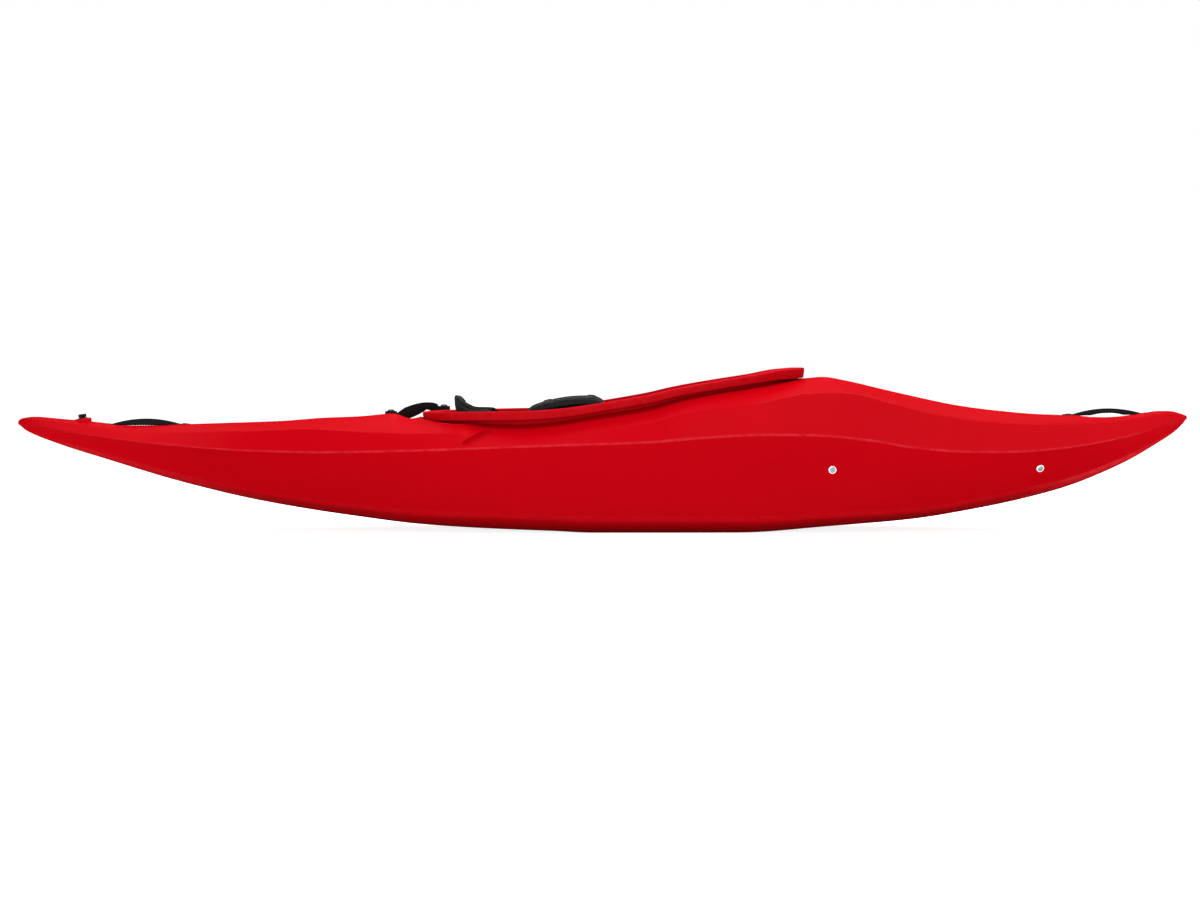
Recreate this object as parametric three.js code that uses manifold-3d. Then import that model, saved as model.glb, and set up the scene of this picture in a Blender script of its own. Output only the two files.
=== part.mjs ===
import * as THREE from 'three';
import { mergeVertices } from 'three/addons/utils/BufferGeometryUtils.js';
import Module from 'manifold-3d';

// A whitewater kayak: a one-piece moulded shell with its coaming, deck fittings and cockpit outfitting.
// Millimetres. +X is the bow, +Y is port, +Z is up. The origin is on the floor under mid-length.

const wasm = await Module();
wasm.setup();

// Hull
const hullLength = 2720;
const hullBeam = 645;
const deckHeight = 358;
const hullWall = 5;
const chineRise = 32;
const keelVee = 12;
const fitGap = 0.3;
const cutOverrun = 3;

// Cockpit rim
const cockpitLength = 889;
const cockpitWidth = 492;
const lipReach = 28;
const lipHeight = 20;
const lipWall = 6;
const lipRound = 3;
const skirtGroove = 8;
const skirtMargin = 5;

// Finger scoops under the grab handles, and the side notches
const scoopLength = 140;
const bowScoopWidth = 96;
const bowScoopDepth = 16;
const sternScoopWidth = 60;
const sternScoopDepth = 18;
const notchRadius = 13;
const notchDepth = 7;

// Grab handles
const handleSpan = 182;
const handleFoot = 26;
const handleWidth = 24;
const handleThickness = 8;
const handleFootThickness = 5;
const handleRise = 9;
const handleSink = 7;
const handleMargin = 1.5;
const handleBevel = 1.5;

// Fasteners
const screwHeadRadius = 6;
const screwHeadHeight = 3.2;
const screwShankRadius = 2.7;
const screwLength = 15;
const boltHeadRadius = 6.5;
const boltHeadHeight = 3.6;
const boltShankRadius = 3;
const socketRadius = 2.5;
const socketDepth = 2;
const holeGap = 0.3;
const cupWasherRadius = 10;
const cupWasherHeight = 3;
const cupWasherLip = 1.2;

// Security bar on the port side of the rear deck, measured up from the deck at its middle
const barSpan = 126;
const barAft = 20;
const barOffset = 205;
const barWidth = 20;
const barThickness = 17;
const barRearHeight = 37;
const barRearDip = 32;
const barPeakAhead = 22;
const barPeakHeight = 58;
const barFrontHeight = 49;
const barFootLength = 28;
const barFootDepth = 40;
const barBevel = 2;
const barBoltGrip = 12;
const barBoltHeadRadius = 8.5;
const barBoltHeadHeight = 4;

// Drain plug in the stern deck
const drainBossRadius = 20;
const drainBossHeight = 3;
const drainBossDepth = 12;
const drainBushRadius = 10;
const drainFlangeRadius = 14;
const drainFlange = 1.2;
const drainBoreRadius = 7;
const drainDepth = 14;
const drainTiltDegrees = 8;
const plugKnobRadius = 9.5;
const plugKnobHeight = 7.5;
const plugStemRadius = 6.6;
const plugStemLength = 11;
const plugLobes = 6;
const plugLobeDepth = 1.2;
const sealRadius = 10.5;
const sealThickness = 1.2;

// Seat, its track and its hip pads
const seatSetback = 72;
const seatLength = 320;
const seatWidth = 384;
const seatWall = 4;
const seatRearHeight = 110;
const seatSideRound = 46;
const seatRimDrop = 8;
const seatRidge = 5;
const trackWidth = 110;
const trackTop = 26;
const trackInset = 10;
const trackOverhang = 30;
const seatKeelWidth = 84;
const seatKeelInset = 44;
const seatTravelAft = 10;
const seatTravelFore = 25;
const seatBoltGrip = 7;
const seatPocketDepth = 2;
const seatPadLength = 232;
const seatPadThickness = 13;
const seatPadDraw = 7;
const seatPadLift = 0.7;
const hipPadLength = 120;
const hipPadHeight = 84;
const hipPadThickness = 24;
const hipPadRise = 132;

// Backband
const bandThickness = 16;
const bandDepth = 92;
const bandPivotInset = 11;
const bandTiltRoom = 0.5;
const earBossRadius = 11;
const earBossReach = 16.5;
const rivetRadius = 7.5;
const rivetHeadHeight = 3;
const rivetShankRadius = 3;
const rivetTail = 3;

// Backband straps and ratchets
const strapWidth = 22;
const strapThickness = 2.4;
const strapToothHeight = 1.2;
const strapToothPitch = 7;
const strapTeeth = 9;
const strapTail = 34;
const ratchetDrop = 40;
const ratchetLength = 46;
const ratchetHeight = 14;
const ratchetWall = 3;
const ratchetFloor = 2;
const leverLength = 56;
const leverThickness = 4;
const leverRun = 0.4;
const axleRadius = 2.5;

// Thigh braces
const braceSetback = 239;
const braceLength = 192;
const braceWidth = 104;
const braceWall = 5;
const braceCorner = 10;
const braceTravel = 20;
const braceGap = 2;
const braceLipDrop = 14;
const bracePadThickness = 20;
const bracePadInset = 6;
const braceBossRadius = 9;
const braceBossOverlap = 2;
const braceBoltSpacing = 84;
const braceBoltGrip = 7;

// Foot rest
const railHeight = 28;
const railThickness = 9;
const railStandOff = 9;
const railMargin = 16;
const railToothPitch = 26;
const railToothDepth = 3;
const railBossRadius = 8;
const railBoltGrip = 4;
const sliderLength = 44;
const sliderWall = 4.5;
const sliderRun = 0.5;
const flangeReach = 56;
const flangeThickness = 5;
const footPlateThickness = 5;
const footPlateCorner = 28;
const footPlateGap = 2;
const footRibDepth = 9;
const footRibThickness = 4;
const footPadWidth = 200;
const footPadInset = 9;
const footPadThickness = 20;
const footPadRound = 8;
const footTravel = 75;
const studRadius = 4;
const knobRadius = 11;
const knobHeight = 11;
const knobLobes = 5;
const knobLobeDepth = 1.6;

// Foam pillars
const pillarThickness = 64;
const frontPillarLength = 120;
const rearPillarLength = 480;
const pillarGap = 12;

// Stations as shares of the hull's length, from the stern, and what each hull line does along them:
// heights are shares of the deck's height, and breadths are shares of half the beam or of the gunwale.
const stationShares = [
  0, 0.002, 0.006, 0.014, 0.03, 0.05, 0.08, 0.11, 0.15, 0.2, 0.25, 0.29, 0.318, 0.335, 0.35, 0.375,
  0.4, 0.43, 0.46, 0.49, 0.53, 0.57, 0.6, 0.615, 0.645, 0.67, 0.689, 0.71, 0.74, 0.77, 0.805, 0.84,
  0.875, 0.905, 0.93, 0.95, 0.967, 0.98, 0.991, 0.997, 1,
];
// The hollow inside takes fewer stations and stops short of the solid ends.
const innerShares = [
  0.014, 0.05, 0.11, 0.15, 0.2, 0.25, 0.29, 0.318, 0.335, 0.35, 0.4, 0.46, 0.54, 0.615, 0.67,
  0.71, 0.74, 0.77, 0.805, 0.84, 0.875, 0.905, 0.95, 0.975, 0.988,
];
const keelHeightShares = [
  [0, 0.675], [0.002, 0.664], [0.005, 0.643], [0.036, 0.544], [0.07, 0.461], [0.139, 0.301],
  [0.207, 0.179], [0.275, 0.096], [0.344, 0.039], [0.41, 0.018], [0.46, 0.009], [0.49, 0], [0.615, 0],
  [0.686, 0.027], [0.754, 0.056], [0.823, 0.133], [0.891, 0.253], [0.943, 0.411], [0.977, 0.56],
  [0.991, 0.634], [0.997, 0.68], [1, 0.71],
];
const gunwaleHeightShares = [
  [0, 0.69], [0.034, 0.65], [0.107, 0.577], [0.15, 0.548], [0.203, 0.524], [0.258, 0.516],
  [0.323, 0.527], [0.447, 0.563], [0.541, 0.588], [0.58, 0.613], [0.637, 0.633], [0.67, 0.63],
  [0.695, 0.62], [0.727, 0.592], [0.76, 0.549], [0.808, 0.519], [0.845, 0.516], [0.884, 0.535],
  [0.941, 0.602], [0.979, 0.676], [1, 0.72],
];
const creaseHeightShares = [
  [0, 0.7], [0.01, 0.715], [0.036, 0.695], [0.07, 0.662], [0.111, 0.627], [0.186, 0.645],
  [0.259, 0.666], [0.284, 0.655], [0.333, 0.638], [0.384, 0.638], [0.4, 0.62], [0.431, 0.62],
  [0.497, 0.661], [0.541, 0.705], [0.568, 0.762], [0.629, 0.826], [0.672, 0.892], [0.695, 0.9],
  [0.715, 0.888], [0.741, 0.834], [0.788, 0.746], [0.836, 0.698], [0.884, 0.678], [0.912, 0.68],
  [0.95, 0.713], [0.977, 0.745], [0.996, 0.735], [1, 0.728],
];
const crestHeightShares = [
  [0, 0.712], [0.002, 0.724], [0.014, 0.735], [0.036, 0.722], [0.07, 0.701], [0.087, 0.683],
  [0.139, 0.693], [0.224, 0.709], [0.258, 0.729], [0.293, 0.742], [0.322, 0.762], [0.335, 0.722],
  [0.345, 0.742], [0.382, 0.83], [0.431, 0.894], [0.515, 0.983], [0.596, 1.02], [0.66, 0.99],
  [0.672, 0.988], [0.689, 1], [0.703, 0.982], [0.737, 0.924], [0.772, 0.865], [0.806, 0.813],
  [0.84, 0.781], [0.874, 0.761], [0.94, 0.752], [0.958, 0.757], [0.977, 0.774], [0.986, 0.774],
  [0.996, 0.755], [1, 0.742],
];
const gunwaleBreadthShares = [
  [0, 0.05], [0.004, 0.1], [0.012, 0.15], [0.025, 0.2], [0.045, 0.26], [0.1, 0.4], [0.2, 0.63],
  [0.3, 0.83], [0.4, 0.955], [0.5, 1], [0.55, 1], [0.65, 0.945], [0.75, 0.83], [0.85, 0.63],
  [0.93, 0.41], [0.965, 0.28], [0.99, 0.155], [0.997, 0.105], [1, 0.06],
];
const bottomBreadthShares = [
  [0, 0.3], [0.1, 0.3], [0.2, 0.42], [0.35, 0.6], [0.5, 0.68], [0.62, 0.68], [0.75, 0.58],
  [0.88, 0.42], [1, 0.3],
];
const chineBreadthShares = [
  [0, 0.5], [0.1, 0.54], [0.2, 0.66], [0.35, 0.83], [0.5, 0.9], [0.62, 0.9], [0.75, 0.84],
  [0.88, 0.68], [1, 0.5],
];
const creaseBreadthShares = [
  [0, 0.55], [0.11, 0.62], [0.26, 0.78], [0.33, 0.82], [0.4, 0.84], [0.5, 0.86], [0.57, 0.83],
  [0.63, 0.78], [0.69, 0.7], [0.74, 0.68], [0.79, 0.68], [0.88, 0.64], [0.95, 0.56], [1, 0.5],
];
const chineRiseShares = [
  [0, 0.02], [0.08, 0.06], [0.17, 0.2], [0.23, 0.4], [0.28, 0.56], [0.33, 0.75], [0.45, 1],
  [0.58, 1], [0.7, 0.75], [0.79, 0.5], [0.85, 0.4], [0.9, 0.2], [0.95, 0.06], [1, 0.02],
];
const keelVeeShares = [[0, 0.1], [0.03, 0.5], [0.2, 1], [0.4, 0.2], [0.49, 0], [0.615, 0], [0.75, 0.6],
  [0.9, 1], [0.98, 0.6], [1, 0.1]];
const straightPullShares = [0.5, 0.5];
const sidePullShares = [0.3, 0.72];
const deckPullShares = [0.46, 0.66];
const bottomSteps = 2;
const chineSteps = 1;
const sideSteps = 4;
const sideDeckSteps = 2;
const topDeckSteps = 4;

// The rim: its rear edge on the hull, its outline and the line of its top along its own length.
const rimRearShare = 0.346;
const rimTaperShare = 0.26;
const rimSquarenessShare = 0.87;
const rimSteps = 48;
const rimTopShares = [
  [0, 0.765], [0.12, 0.772], [0.27, 0.778], [0.36, 0.793], [0.46, 0.825], [0.54, 0.857],
  [0.6, 0.884], [0.665, 0.921], [0.77, 0.967], [0.87, 1.006], [0.94, 1.038], [1, 1.051],
];
const lipHeightShares = [[0, 1], [0.35, 1], [0.5, 0.85], [1, 0.85]];

// How much of a screw head's width its flat crown takes.
const headCrownShare = 0.65;

// Places along the hull, as shares of its length from the stern, and up it, as shares of the deck's height.
const bowHandleShare = 0.9316;
const sternHandleShare = 0.1095;
const drainShare = 0.0552;
const railRearShare = 0.6915;
const railFrontShare = 0.869;
const footRestShare = 0.779;
const railBoltShare = 0.408;
const footPlateBottomShare = 0.229;
const footPlateHeightShare = 0.363;
const notchTopShares = [0.404, 0.648];
const notchFootShares = [0.388, 0.583];

// Seat lines along its length, from its rear edge.
const seatFloorShares = [[0, 1], [0.12, 0.58], [0.3, 0.34], [0.45, 0.33], [0.7, 0.47], [0.88, 0.68],
  [1, 0.66]];
const seatWingShares = [[0, 0.64], [0.12, 0.86], [0.22, 1], [0.32, 1], [0.42, 0.86], [0.76, 0.8],
  [0.88, 0.56], [1, 0.42]];
const seatAcrossShares = [0, 0.3, 0.62, 0.86, 1];
const seatDishShares = [0, 0, 0.06, 0.36, 1];
const seatStationShares = [0, 0.06, 0.12, 0.22, 0.32, 0.42, 0.54, 0.66, 0.76, 0.88, 1];
const seatBoltShares = [0.28, 0.68];
const ratchetReachShare = 0.444;
const seatEarShare = 0.6313;
const seatPadPlaceShare = 0.14;
const seatPadWidthShare = 0.75;
const padEdgeShares = [0, 0.025, 0.083, 0.917, 0.975, 1];
const padAcrossShares = [[0, 0.7], [0.4, 1], [0.85, 1], [0.96, 0.75], [1, 0.25]];
const padAlongShares = [[0, 0.35], [0.03, 0.8], [0.12, 1], [0.88, 1], [0.97, 0.8], [1, 0.35]];
const hipPadPlaceShare = 0.52;
const hipPadCrownShares = [[0, 0.95], [0.3, 1], [0.75, 0.96], [1, 0.7]];

// Backband lines from its middle to the ends of its wings.
const bandTopShares = [[0, 1], [0.16, 0.97], [0.34, 0.91], [0.5, 0.85], [0.65, 0.805], [0.93, 0.79],
  [1, 0.74]];
const bandBottomShares = [[0, 0], [0.5, 0.08], [1, 0.2]];
const bandStationShares = [-1, -0.93, -0.8, -0.65, -0.5, -0.35, -0.17, 0, 0.17, 0.35, 0.5, 0.65, 0.8, 0.93, 1];
const bandTopShare = 0.8687;
const bandBottomShare = 0.4693;
const bandPivotShare = 0.5754;
const bandBendShare = 2;
const bandLeanShare = 0.3;
const bandSpreadShare = 0.92;
const bandEndShare = 0.6;
const bandFaceShares = [[-1, 0], [-0.8, 0.42], [-0.3, 0.5], [0.3, 0.5], [0.8, 0.42], [1, 0]];

// Thigh brace heights as shares of the deck's height: its foot, its bolts and its crest along its length.
const braceFootShare = 0.642;
const braceBoltShare = 0.698;
const braceCrestShares = [[0, 0.742], [0.155, 0.767], [0.44, 0.802], [0.6, 0.812], [0.73, 0.814],
  [0.866, 0.81], [0.955, 0.79], [1, 0.768]];
const braceStationShares = [0, 0.06, 0.14, 0.25, 0.38, 0.5, 0.62, 0.75, 0.88, 0.95, 1];
const bracePadAcrossShares = [[0, 0.2], [0.06, 0.85], [0.25, 1], [0.6, 0.9], [0.94, 0.6], [1, 0.15]];
const bracePadAlongShares = [[0, 0.35], [0.1, 0.9], [0.3, 1], [0.8, 1], [0.94, 0.85], [1, 0.35]];

const halfBeam = hullBeam / 2;
const rimRear = (rimRearShare - 0.5) * hullLength;
const rimMiddle = rimRear + cockpitLength / 2;

const red = { color: 0xc8101e, roughness: 0.38, metalness: 0 };
const black = { color: 0x1b1c1e, roughness: 0.55, metalness: 0 };
const charcoal = { color: 0x35332f, roughness: 0.9, metalness: 0 };
const foam = { color: 0x2b2d30, roughness: 0.95, metalness: 0 };
const paleFoam = { color: 0x4a4d52, roughness: 0.95, metalness: 0 };
const steel = { color: 0xc9ccd0, roughness: 0.28, metalness: 1 };
const rubber = { color: 0x141414, roughness: 0.8, metalness: 0 };

const kayak = new THREE.Group();

// Shape helpers

// A smooth line through [place, value] pairs that never swings past them.
function lineThrough(pairs) {
  const slopes = [];
  for (let i = 0; i < pairs.length - 1; i += 1) {
    slopes.push((pairs[i + 1][1] - pairs[i][1]) / (pairs[i + 1][0] - pairs[i][0]));
  }
  const tangents = pairs.map((pair, i) => {
    if (i === 0) return slopes[0];
    if (i === slopes.length) return slopes[i - 1];
    if (slopes[i - 1] * slopes[i] <= 0) return 0;
    return 2 / (1 / slopes[i - 1] + 1 / slopes[i]);
  });
  return (place) => {
    const at = Math.min(Math.max(place, pairs[0][0]), pairs[pairs.length - 1][0]);
    let i = 0;
    while (i < slopes.length - 1 && at > pairs[i + 1][0]) i += 1;
    const span = pairs[i + 1][0] - pairs[i][0];
    const t = (at - pairs[i][0]) / span;
    const rest = 1 - t;
    return pairs[i][1] * (1 + 2 * t) * rest * rest + tangents[i] * span * t * rest * rest
      + pairs[i + 1][1] * t * t * (3 - 2 * t) - tangents[i + 1] * span * t * t * rest;
  };
}

// A closed skin over rings of points. Rings that close on themselves make a hoop. The two halves of
// a ring take opposite diagonals, so that a form that is the same on both sides stays so.
function loft(rings, hoop = false) {
  const count = rings[0].length;
  const points = rings.flat();
  const faces = [];
  const spans = hoop ? rings.length : rings.length - 1;
  for (let i = 0; i < spans; i += 1) {
    const here = i * count;
    const there = ((i + 1) % rings.length) * count;
    for (let j = 0; j < count; j += 1) {
      const next = (j + 1) % count;
      if (j < count / 2) faces.push(here + j, here + next, there + next, here + j, there + next, there + j);
      else faces.push(here + j, here + next, there + j, here + next, there + next, there + j);
    }
  }
  if (!hoop) {
    faces.push(...flatFaces(rings[0]).reverse());
    faces.push(...flatFaces(rings.at(-1)).map((i) => i + spans * count));
  }
  const geometry = new THREE.BufferGeometry().setFromPoints(points);
  geometry.setIndex(faces);
  return outward(geometry);
}

// Triangles that fill a flat ring of points, turning the same way as the ring does.
function flatFaces(ring) {
  const normal = ring.reduce((sum, point, i) => sum.add(point.clone().cross(ring[(i + 1) % ring.length])),
    new THREE.Vector3());
  const level = placed(new THREE.Vector3(), normal).invert();
  const outline = ring.map((point) => point.clone().applyMatrix4(level))
    .map(({ x, y }) => new THREE.Vector2(x, y));
  return THREE.ShapeUtils.triangulateShape(outline, []).flat();
}

// The same geometry with its faces pointing out.
function outward(geometry) {
  const place = geometry.attributes.position;
  const index = Array.from(geometry.index.array);
  const corner = (i) => new THREE.Vector3().fromBufferAttribute(place, index[i]);
  let volume = 0;
  for (let i = 0; i < index.length; i += 3) {
    volume += corner(i).dot(corner(i + 1).cross(corner(i + 2)));
  }
  geometry.setIndex(volume < 0 ? index.reverse() : index);
  return geometry;
}

function solid(geometry) {
  const bare = geometry.clone();
  bare.deleteAttribute('normal');
  bare.deleteAttribute('uv');
  const merged = mergeVertices(bare);
  return new wasm.Manifold(new wasm.Mesh({
    numProp: 3,
    vertProperties: new Float32Array(merged.attributes.position.array),
    triVerts: new Uint32Array(merged.index.array),
  }));
}

function skinOf(body) {
  const mesh = body.getMesh();
  const geometry = new THREE.BufferGeometry();
  geometry.setAttribute('position', new THREE.BufferAttribute(new Float32Array(mesh.vertProperties), 3));
  geometry.setIndex(Array.from(mesh.triVerts));
  return geometry;
}

// Adds one named piece, from a geometry or a solid, at its place.
function addPiece(name, shape, finish, matrix = new THREE.Matrix4()) {
  const geometry = skinOf(shape.isBufferGeometry ? solid(shape) : shape);
  const piece = new THREE.Mesh(geometry, new THREE.MeshStandardMaterial(finish));
  piece.name = name;
  matrix.decompose(piece.position, piece.quaternion, piece.scale);
  kayak.add(piece);
  return piece;
}

function box(length, width, height, x = 0, y = 0, z = 0) {
  return new THREE.BoxGeometry(length, width, height).translate(x, y, z);
}

// A cylinder along +Z that starts at z = 0.
function rod(radius, length, sides = 10) {
  return new THREE.CylinderGeometry(radius, radius, length, sides)
    .rotateX(Math.PI / 2).translate(0, 0, length / 2);
}

// A turned piece from [radius, height] pairs that start and end on the axis, along +Z.
function turned(profile, sides = 12) {
  const points = profile.map(([radius, height]) => new THREE.Vector2(radius, height));
  return new THREE.LatheGeometry(points, sides).rotateX(Math.PI / 2);
}

// An outline of [x, z] pairs pushed out along Y, centred on y = 0, with an optional bevel.
function plateAcross(shape, width, bevel = 0) {
  const options = {
    depth: width - 2 * bevel,
    bevelEnabled: bevel > 0,
    bevelThickness: bevel,
    bevelSize: bevel,
    bevelOffset: -bevel,
    bevelSegments: 1,
    curveSegments: 8,
  };
  return new THREE.ExtrudeGeometry(shape, options)
    .translate(0, 0, bevel - width / 2).rotateX(Math.PI / 2);
}

// A matrix that turns +Z to the given direction and moves the origin to the given point.
function placed(point, direction) {
  const up = new THREE.Vector3(0, 0, 1);
  const turn = new THREE.Quaternion().setFromUnitVectors(up, direction.clone().normalize());
  return new THREE.Matrix4().compose(point, turn, new THREE.Vector3(1, 1, 1));
}

function moved(x, y, z, pitch = 0) {
  return new THREE.Matrix4().makeTranslation(x, y, z).multiply(new THREE.Matrix4().makeRotationY(pitch));
}

// Hull form

const keelHeight = lineThrough(keelHeightShares);
const gunwaleHeight = lineThrough(gunwaleHeightShares);
const creaseHeight = lineThrough(creaseHeightShares);
const crestHeight = lineThrough(crestHeightShares);
const gunwaleBreadth = lineThrough(gunwaleBreadthShares);
const bottomBreadth = lineThrough(bottomBreadthShares);
const chineBreadth = lineThrough(chineBreadthShares);
const creaseBreadth = lineThrough(creaseBreadthShares);
const chineLift = lineThrough(chineRiseShares);
const veeLift = lineThrough(keelVeeShares);

// Points from one hull line to the next, bowed towards a pull point given as shares of the way.
function panel(from, to, steps, pull) {
  const middle = [from[0] + (to[0] - from[0]) * pull[0], from[1] + (to[1] - from[1]) * pull[1]];
  const points = [];
  for (let i = 1; i <= steps; i += 1) {
    const t = i / steps;
    points.push([0, 1].map((axis) => from[axis] * (1 - t) * (1 - t)
      + 2 * middle[axis] * t * (1 - t) + to[axis] * t * t));
  }
  return points;
}

// Half a cross-section, from the keel round the port side to the deck's crest, as [y, z] pairs.
function halfSection(share) {
  const side = halfBeam * gunwaleBreadth(share);
  const keel = [0, deckHeight * keelHeight(share)];
  const bilge = [side * bottomBreadth(share), keel[1] + keelVee * veeLift(share)];
  const chine = [side * chineBreadth(share), bilge[1] + chineRise * chineLift(share)];
  const gunwale = [side, deckHeight * gunwaleHeight(share)];
  const crease = [side * creaseBreadth(share), deckHeight * creaseHeight(share)];
  const crest = [0, deckHeight * crestHeight(share)];
  return [
    keel,
    ...panel(keel, bilge, bottomSteps, straightPullShares),
    ...panel(bilge, chine, chineSteps, straightPullShares),
    ...panel(chine, gunwale, sideSteps, sidePullShares),
    ...panel(gunwale, crease, sideDeckSteps, straightPullShares),
    ...panel(crease, crest, topDeckSteps, deckPullShares),
  ];
}

const chineIndex = bottomSteps + chineSteps;
const gunwaleIndex = chineIndex + sideSteps;

// The whole cross-section, moved in by a depth measured square to its sides.
function section(share, depth) {
  const half = halfSection(share);
  const ring = [...half, ...half.slice(1, -1).reverse().map(([y, z]) => [-y, z])];
  const count = ring.length;
  const inward = (a, b) => {
    const run = [b[0] - a[0], b[1] - a[1]];
    const length = Math.hypot(...run);
    return [-run[1] / length, run[0] / length];
  };
  return ring.map((point, i) => {
    const first = inward(ring[(i + count - 1) % count], point);
    const second = inward(point, ring[(i + 1) % count]);
    const reach = depth / (1 + first[0] * second[0] + first[1] * second[1]);
    return [point[0] + (first[0] + second[0]) * reach, point[1] + (first[1] + second[1]) * reach];
  });
}

function hullForm(depth, shares) {
  return loft(shares.map((share) => section(share, depth)
    .map(([y, z]) => new THREE.Vector3((share - 0.5) * hullLength, y, z))));
}

// Where a line across the section meets the hull: the deck's height, and the side's breadth.
function deckAt(x, y) {
  const half = halfSection(x / hullLength + 0.5);
  const aside = Math.abs(y);
  for (let i = half.length - 1; i > gunwaleIndex; i -= 1) {
    if (aside <= half[i - 1][0]) {
      const t = (aside - half[i][0]) / (half[i - 1][0] - half[i][0]);
      return half[i][1] + (half[i - 1][1] - half[i][1]) * t;
    }
  }
  return half[gunwaleIndex][1];
}

function sideAt(x, z) {
  const half = halfSection(x / hullLength + 0.5);
  for (let i = chineIndex; i < gunwaleIndex; i += 1) {
    if (z <= half[i + 1][1]) {
      const t = (z - half[i][1]) / (half[i + 1][1] - half[i][1]);
      return half[i][0] + (half[i + 1][0] - half[i][0]) * t;
    }
  }
  return half[gunwaleIndex][0];
}

const alongHull = (share) => (share - 0.5) * hullLength;

// Rim form

const rimTop = lineThrough(rimTopShares);
const lipDepth = lineThrough(lipHeightShares);

function eggSide(turn) {
  return Math.abs(Math.sin(turn)) ** rimSquarenessShare * (1 - rimTaperShare * Math.cos(turn));
}

const eggWidest = Math.max(...Array.from({ length: rimSteps * 4 }, (_, i) => eggSide(i * Math.PI / rimSteps / 4)));

function rimPoint(turn) {
  const along = Math.sign(Math.cos(turn)) * Math.abs(Math.cos(turn)) ** rimSquarenessShare;
  const across = Math.sign(Math.sin(turn)) * eggSide(turn) / eggWidest;
  return new THREE.Vector2(rimMiddle + along * cockpitLength / 2, across * cockpitWidth / 2);
}

// The rim's outline at a turn from the bow, moved in by a distance.
function rimEdge(turn, inset) {
  const step = Math.PI / 720;
  const run = rimPoint(turn + step).sub(rimPoint(turn - step)).normalize();
  return rimPoint(turn).add(new THREE.Vector2(-run.y, run.x).multiplyScalar(inset));
}

const rimTopAt = (x) => deckHeight * rimTop((x - rimRear) / cockpitLength);
const lipAt = (x) => lipHeight * lipDepth((x - rimRear) / cockpitLength);
const grooveAt = (x) => rimTopAt(x) - lipAt(x) - skirtGroove;

// The space inside the rim's outline above a floor line, used to cut the deck.
function rimSpace(inset, floorAt) {
  const rings = [];
  const steps = rimSteps / 2;
  for (let i = 0; i <= steps; i += 1) {
    const turn = Math.PI - (i + 0.2) / (steps + 0.4) * Math.PI;
    const edge = rimEdge(turn, inset);
    const half = Math.max(edge.y, cutOverrun);
    rings.push([[-half, floorAt(edge.x)], [half, floorAt(edge.x)], [half, 2 * deckHeight],
      [-half, 2 * deckHeight]].map(([y, z]) => new THREE.Vector3(edge.x, y, z)));
  }
  return solid(loft(rings));
}

// The coaming: a riser that stands on the deck and a lip that turns out and down from it.
function coaming() {
  const rings = [];
  for (let i = 0; i < rimSteps; i += 1) {
    const turn = (i + 0.5) / rimSteps * 2 * Math.PI;
    const edge = rimEdge(turn, 0);
    const foot = rimEdge(turn, lipReach + hullWall / 2);
    const base = Math.min(deckAt(foot.x, foot.y), grooveAt(edge.x)) - hullWall * 0.75;
    const top = rimTopAt(edge.x);
    const bottom = top - lipAt(edge.x);
    const inner = lipReach + hullWall;
    rings.push([
      [inner, base], [inner, top - lipRound], [inner - lipRound, top], [lipRound, top],
      [0, top - lipRound], [0, bottom], [lipWall, bottom], [lipWall, top - lipWall],
      [lipReach, top - lipWall], [lipReach, base],
    ].map(([inset, z]) => {
      const point = rimEdge(turn, inset);
      return new THREE.Vector3(point.x, point.y, z);
    }));
  }
  return solid(loft(rings, true));
}

function handleMatrix(x) {
  const rear = deckAt(x - handleSpan / 2, 0);
  const front = deckAt(x + handleSpan / 2, 0);
  return moved(x, 0, (rear + front) / 2, -Math.atan2(front - rear, handleSpan));
}

const bowHandleX = alongHull(bowHandleShare);
const sternHandleX = alongHull(sternHandleShare);

// A scoop that fingers go down into, under a grab handle, with a slot for the handle's feet.
function scoop(x, width, depth, growth) {
  const ball = new THREE.SphereGeometry(1, 16, 8);
  ball.scale(scoopLength / 2 + growth, width / 2 + growth, depth + growth);
  const room = handleMargin + growth;
  const slot = box(handleSpan + handleFoot + 2 * room, handleWidth + 2 * room, deckHeight, 0, 0,
    deckHeight / 2 - handleSink - growth).applyMatrix4(handleMatrix(x));
  return solid(ball.translate(x, 0, deckAt(x, 0))).add(solid(slot));
}

// A diagonal trough pressed into the side deck beside the seat.
function notch(side, growth) {
  const ends = [notchTopShares, notchFootShares].map(([along, up]) => {
    const x = alongHull(along);
    const z = up * deckHeight;
    const half = halfSection(along);
    const gunwale = half[gunwaleIndex];
    const crease = half[gunwaleIndex + sideDeckSteps];
    const t = (z - gunwale[1]) / (crease[1] - gunwale[1]);
    const y = gunwale[0] + (crease[0] - gunwale[0]) * t + notchRadius - notchDepth;
    return new THREE.Vector3(x, side * y, z);
  });
  const run = ends[1].clone().sub(ends[0]);
  const shape = new THREE.CapsuleGeometry(notchRadius + growth, run.length(), 3, 10).rotateX(Math.PI / 2);
  return solid(shape.applyMatrix4(placed(ends[0].add(ends[1]).multiplyScalar(0.5), run)));
}

// Fasteners

// A round-headed screw or bolt. The head sits on z = 0 and the shank runs down from it.
function fastener(headRadius, headHeight, shankRadius, length) {
  return turned([
    [0, -length], [shankRadius, -length], [shankRadius, 0], [headRadius, 0],
    [headRadius, headHeight / 2], [headRadius * headCrownShare, headHeight], [socketRadius, headHeight],
    [socketRadius, headHeight - socketDepth], [0, headHeight - socketDepth],
  ], 8);
}

// Grab handles

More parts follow.
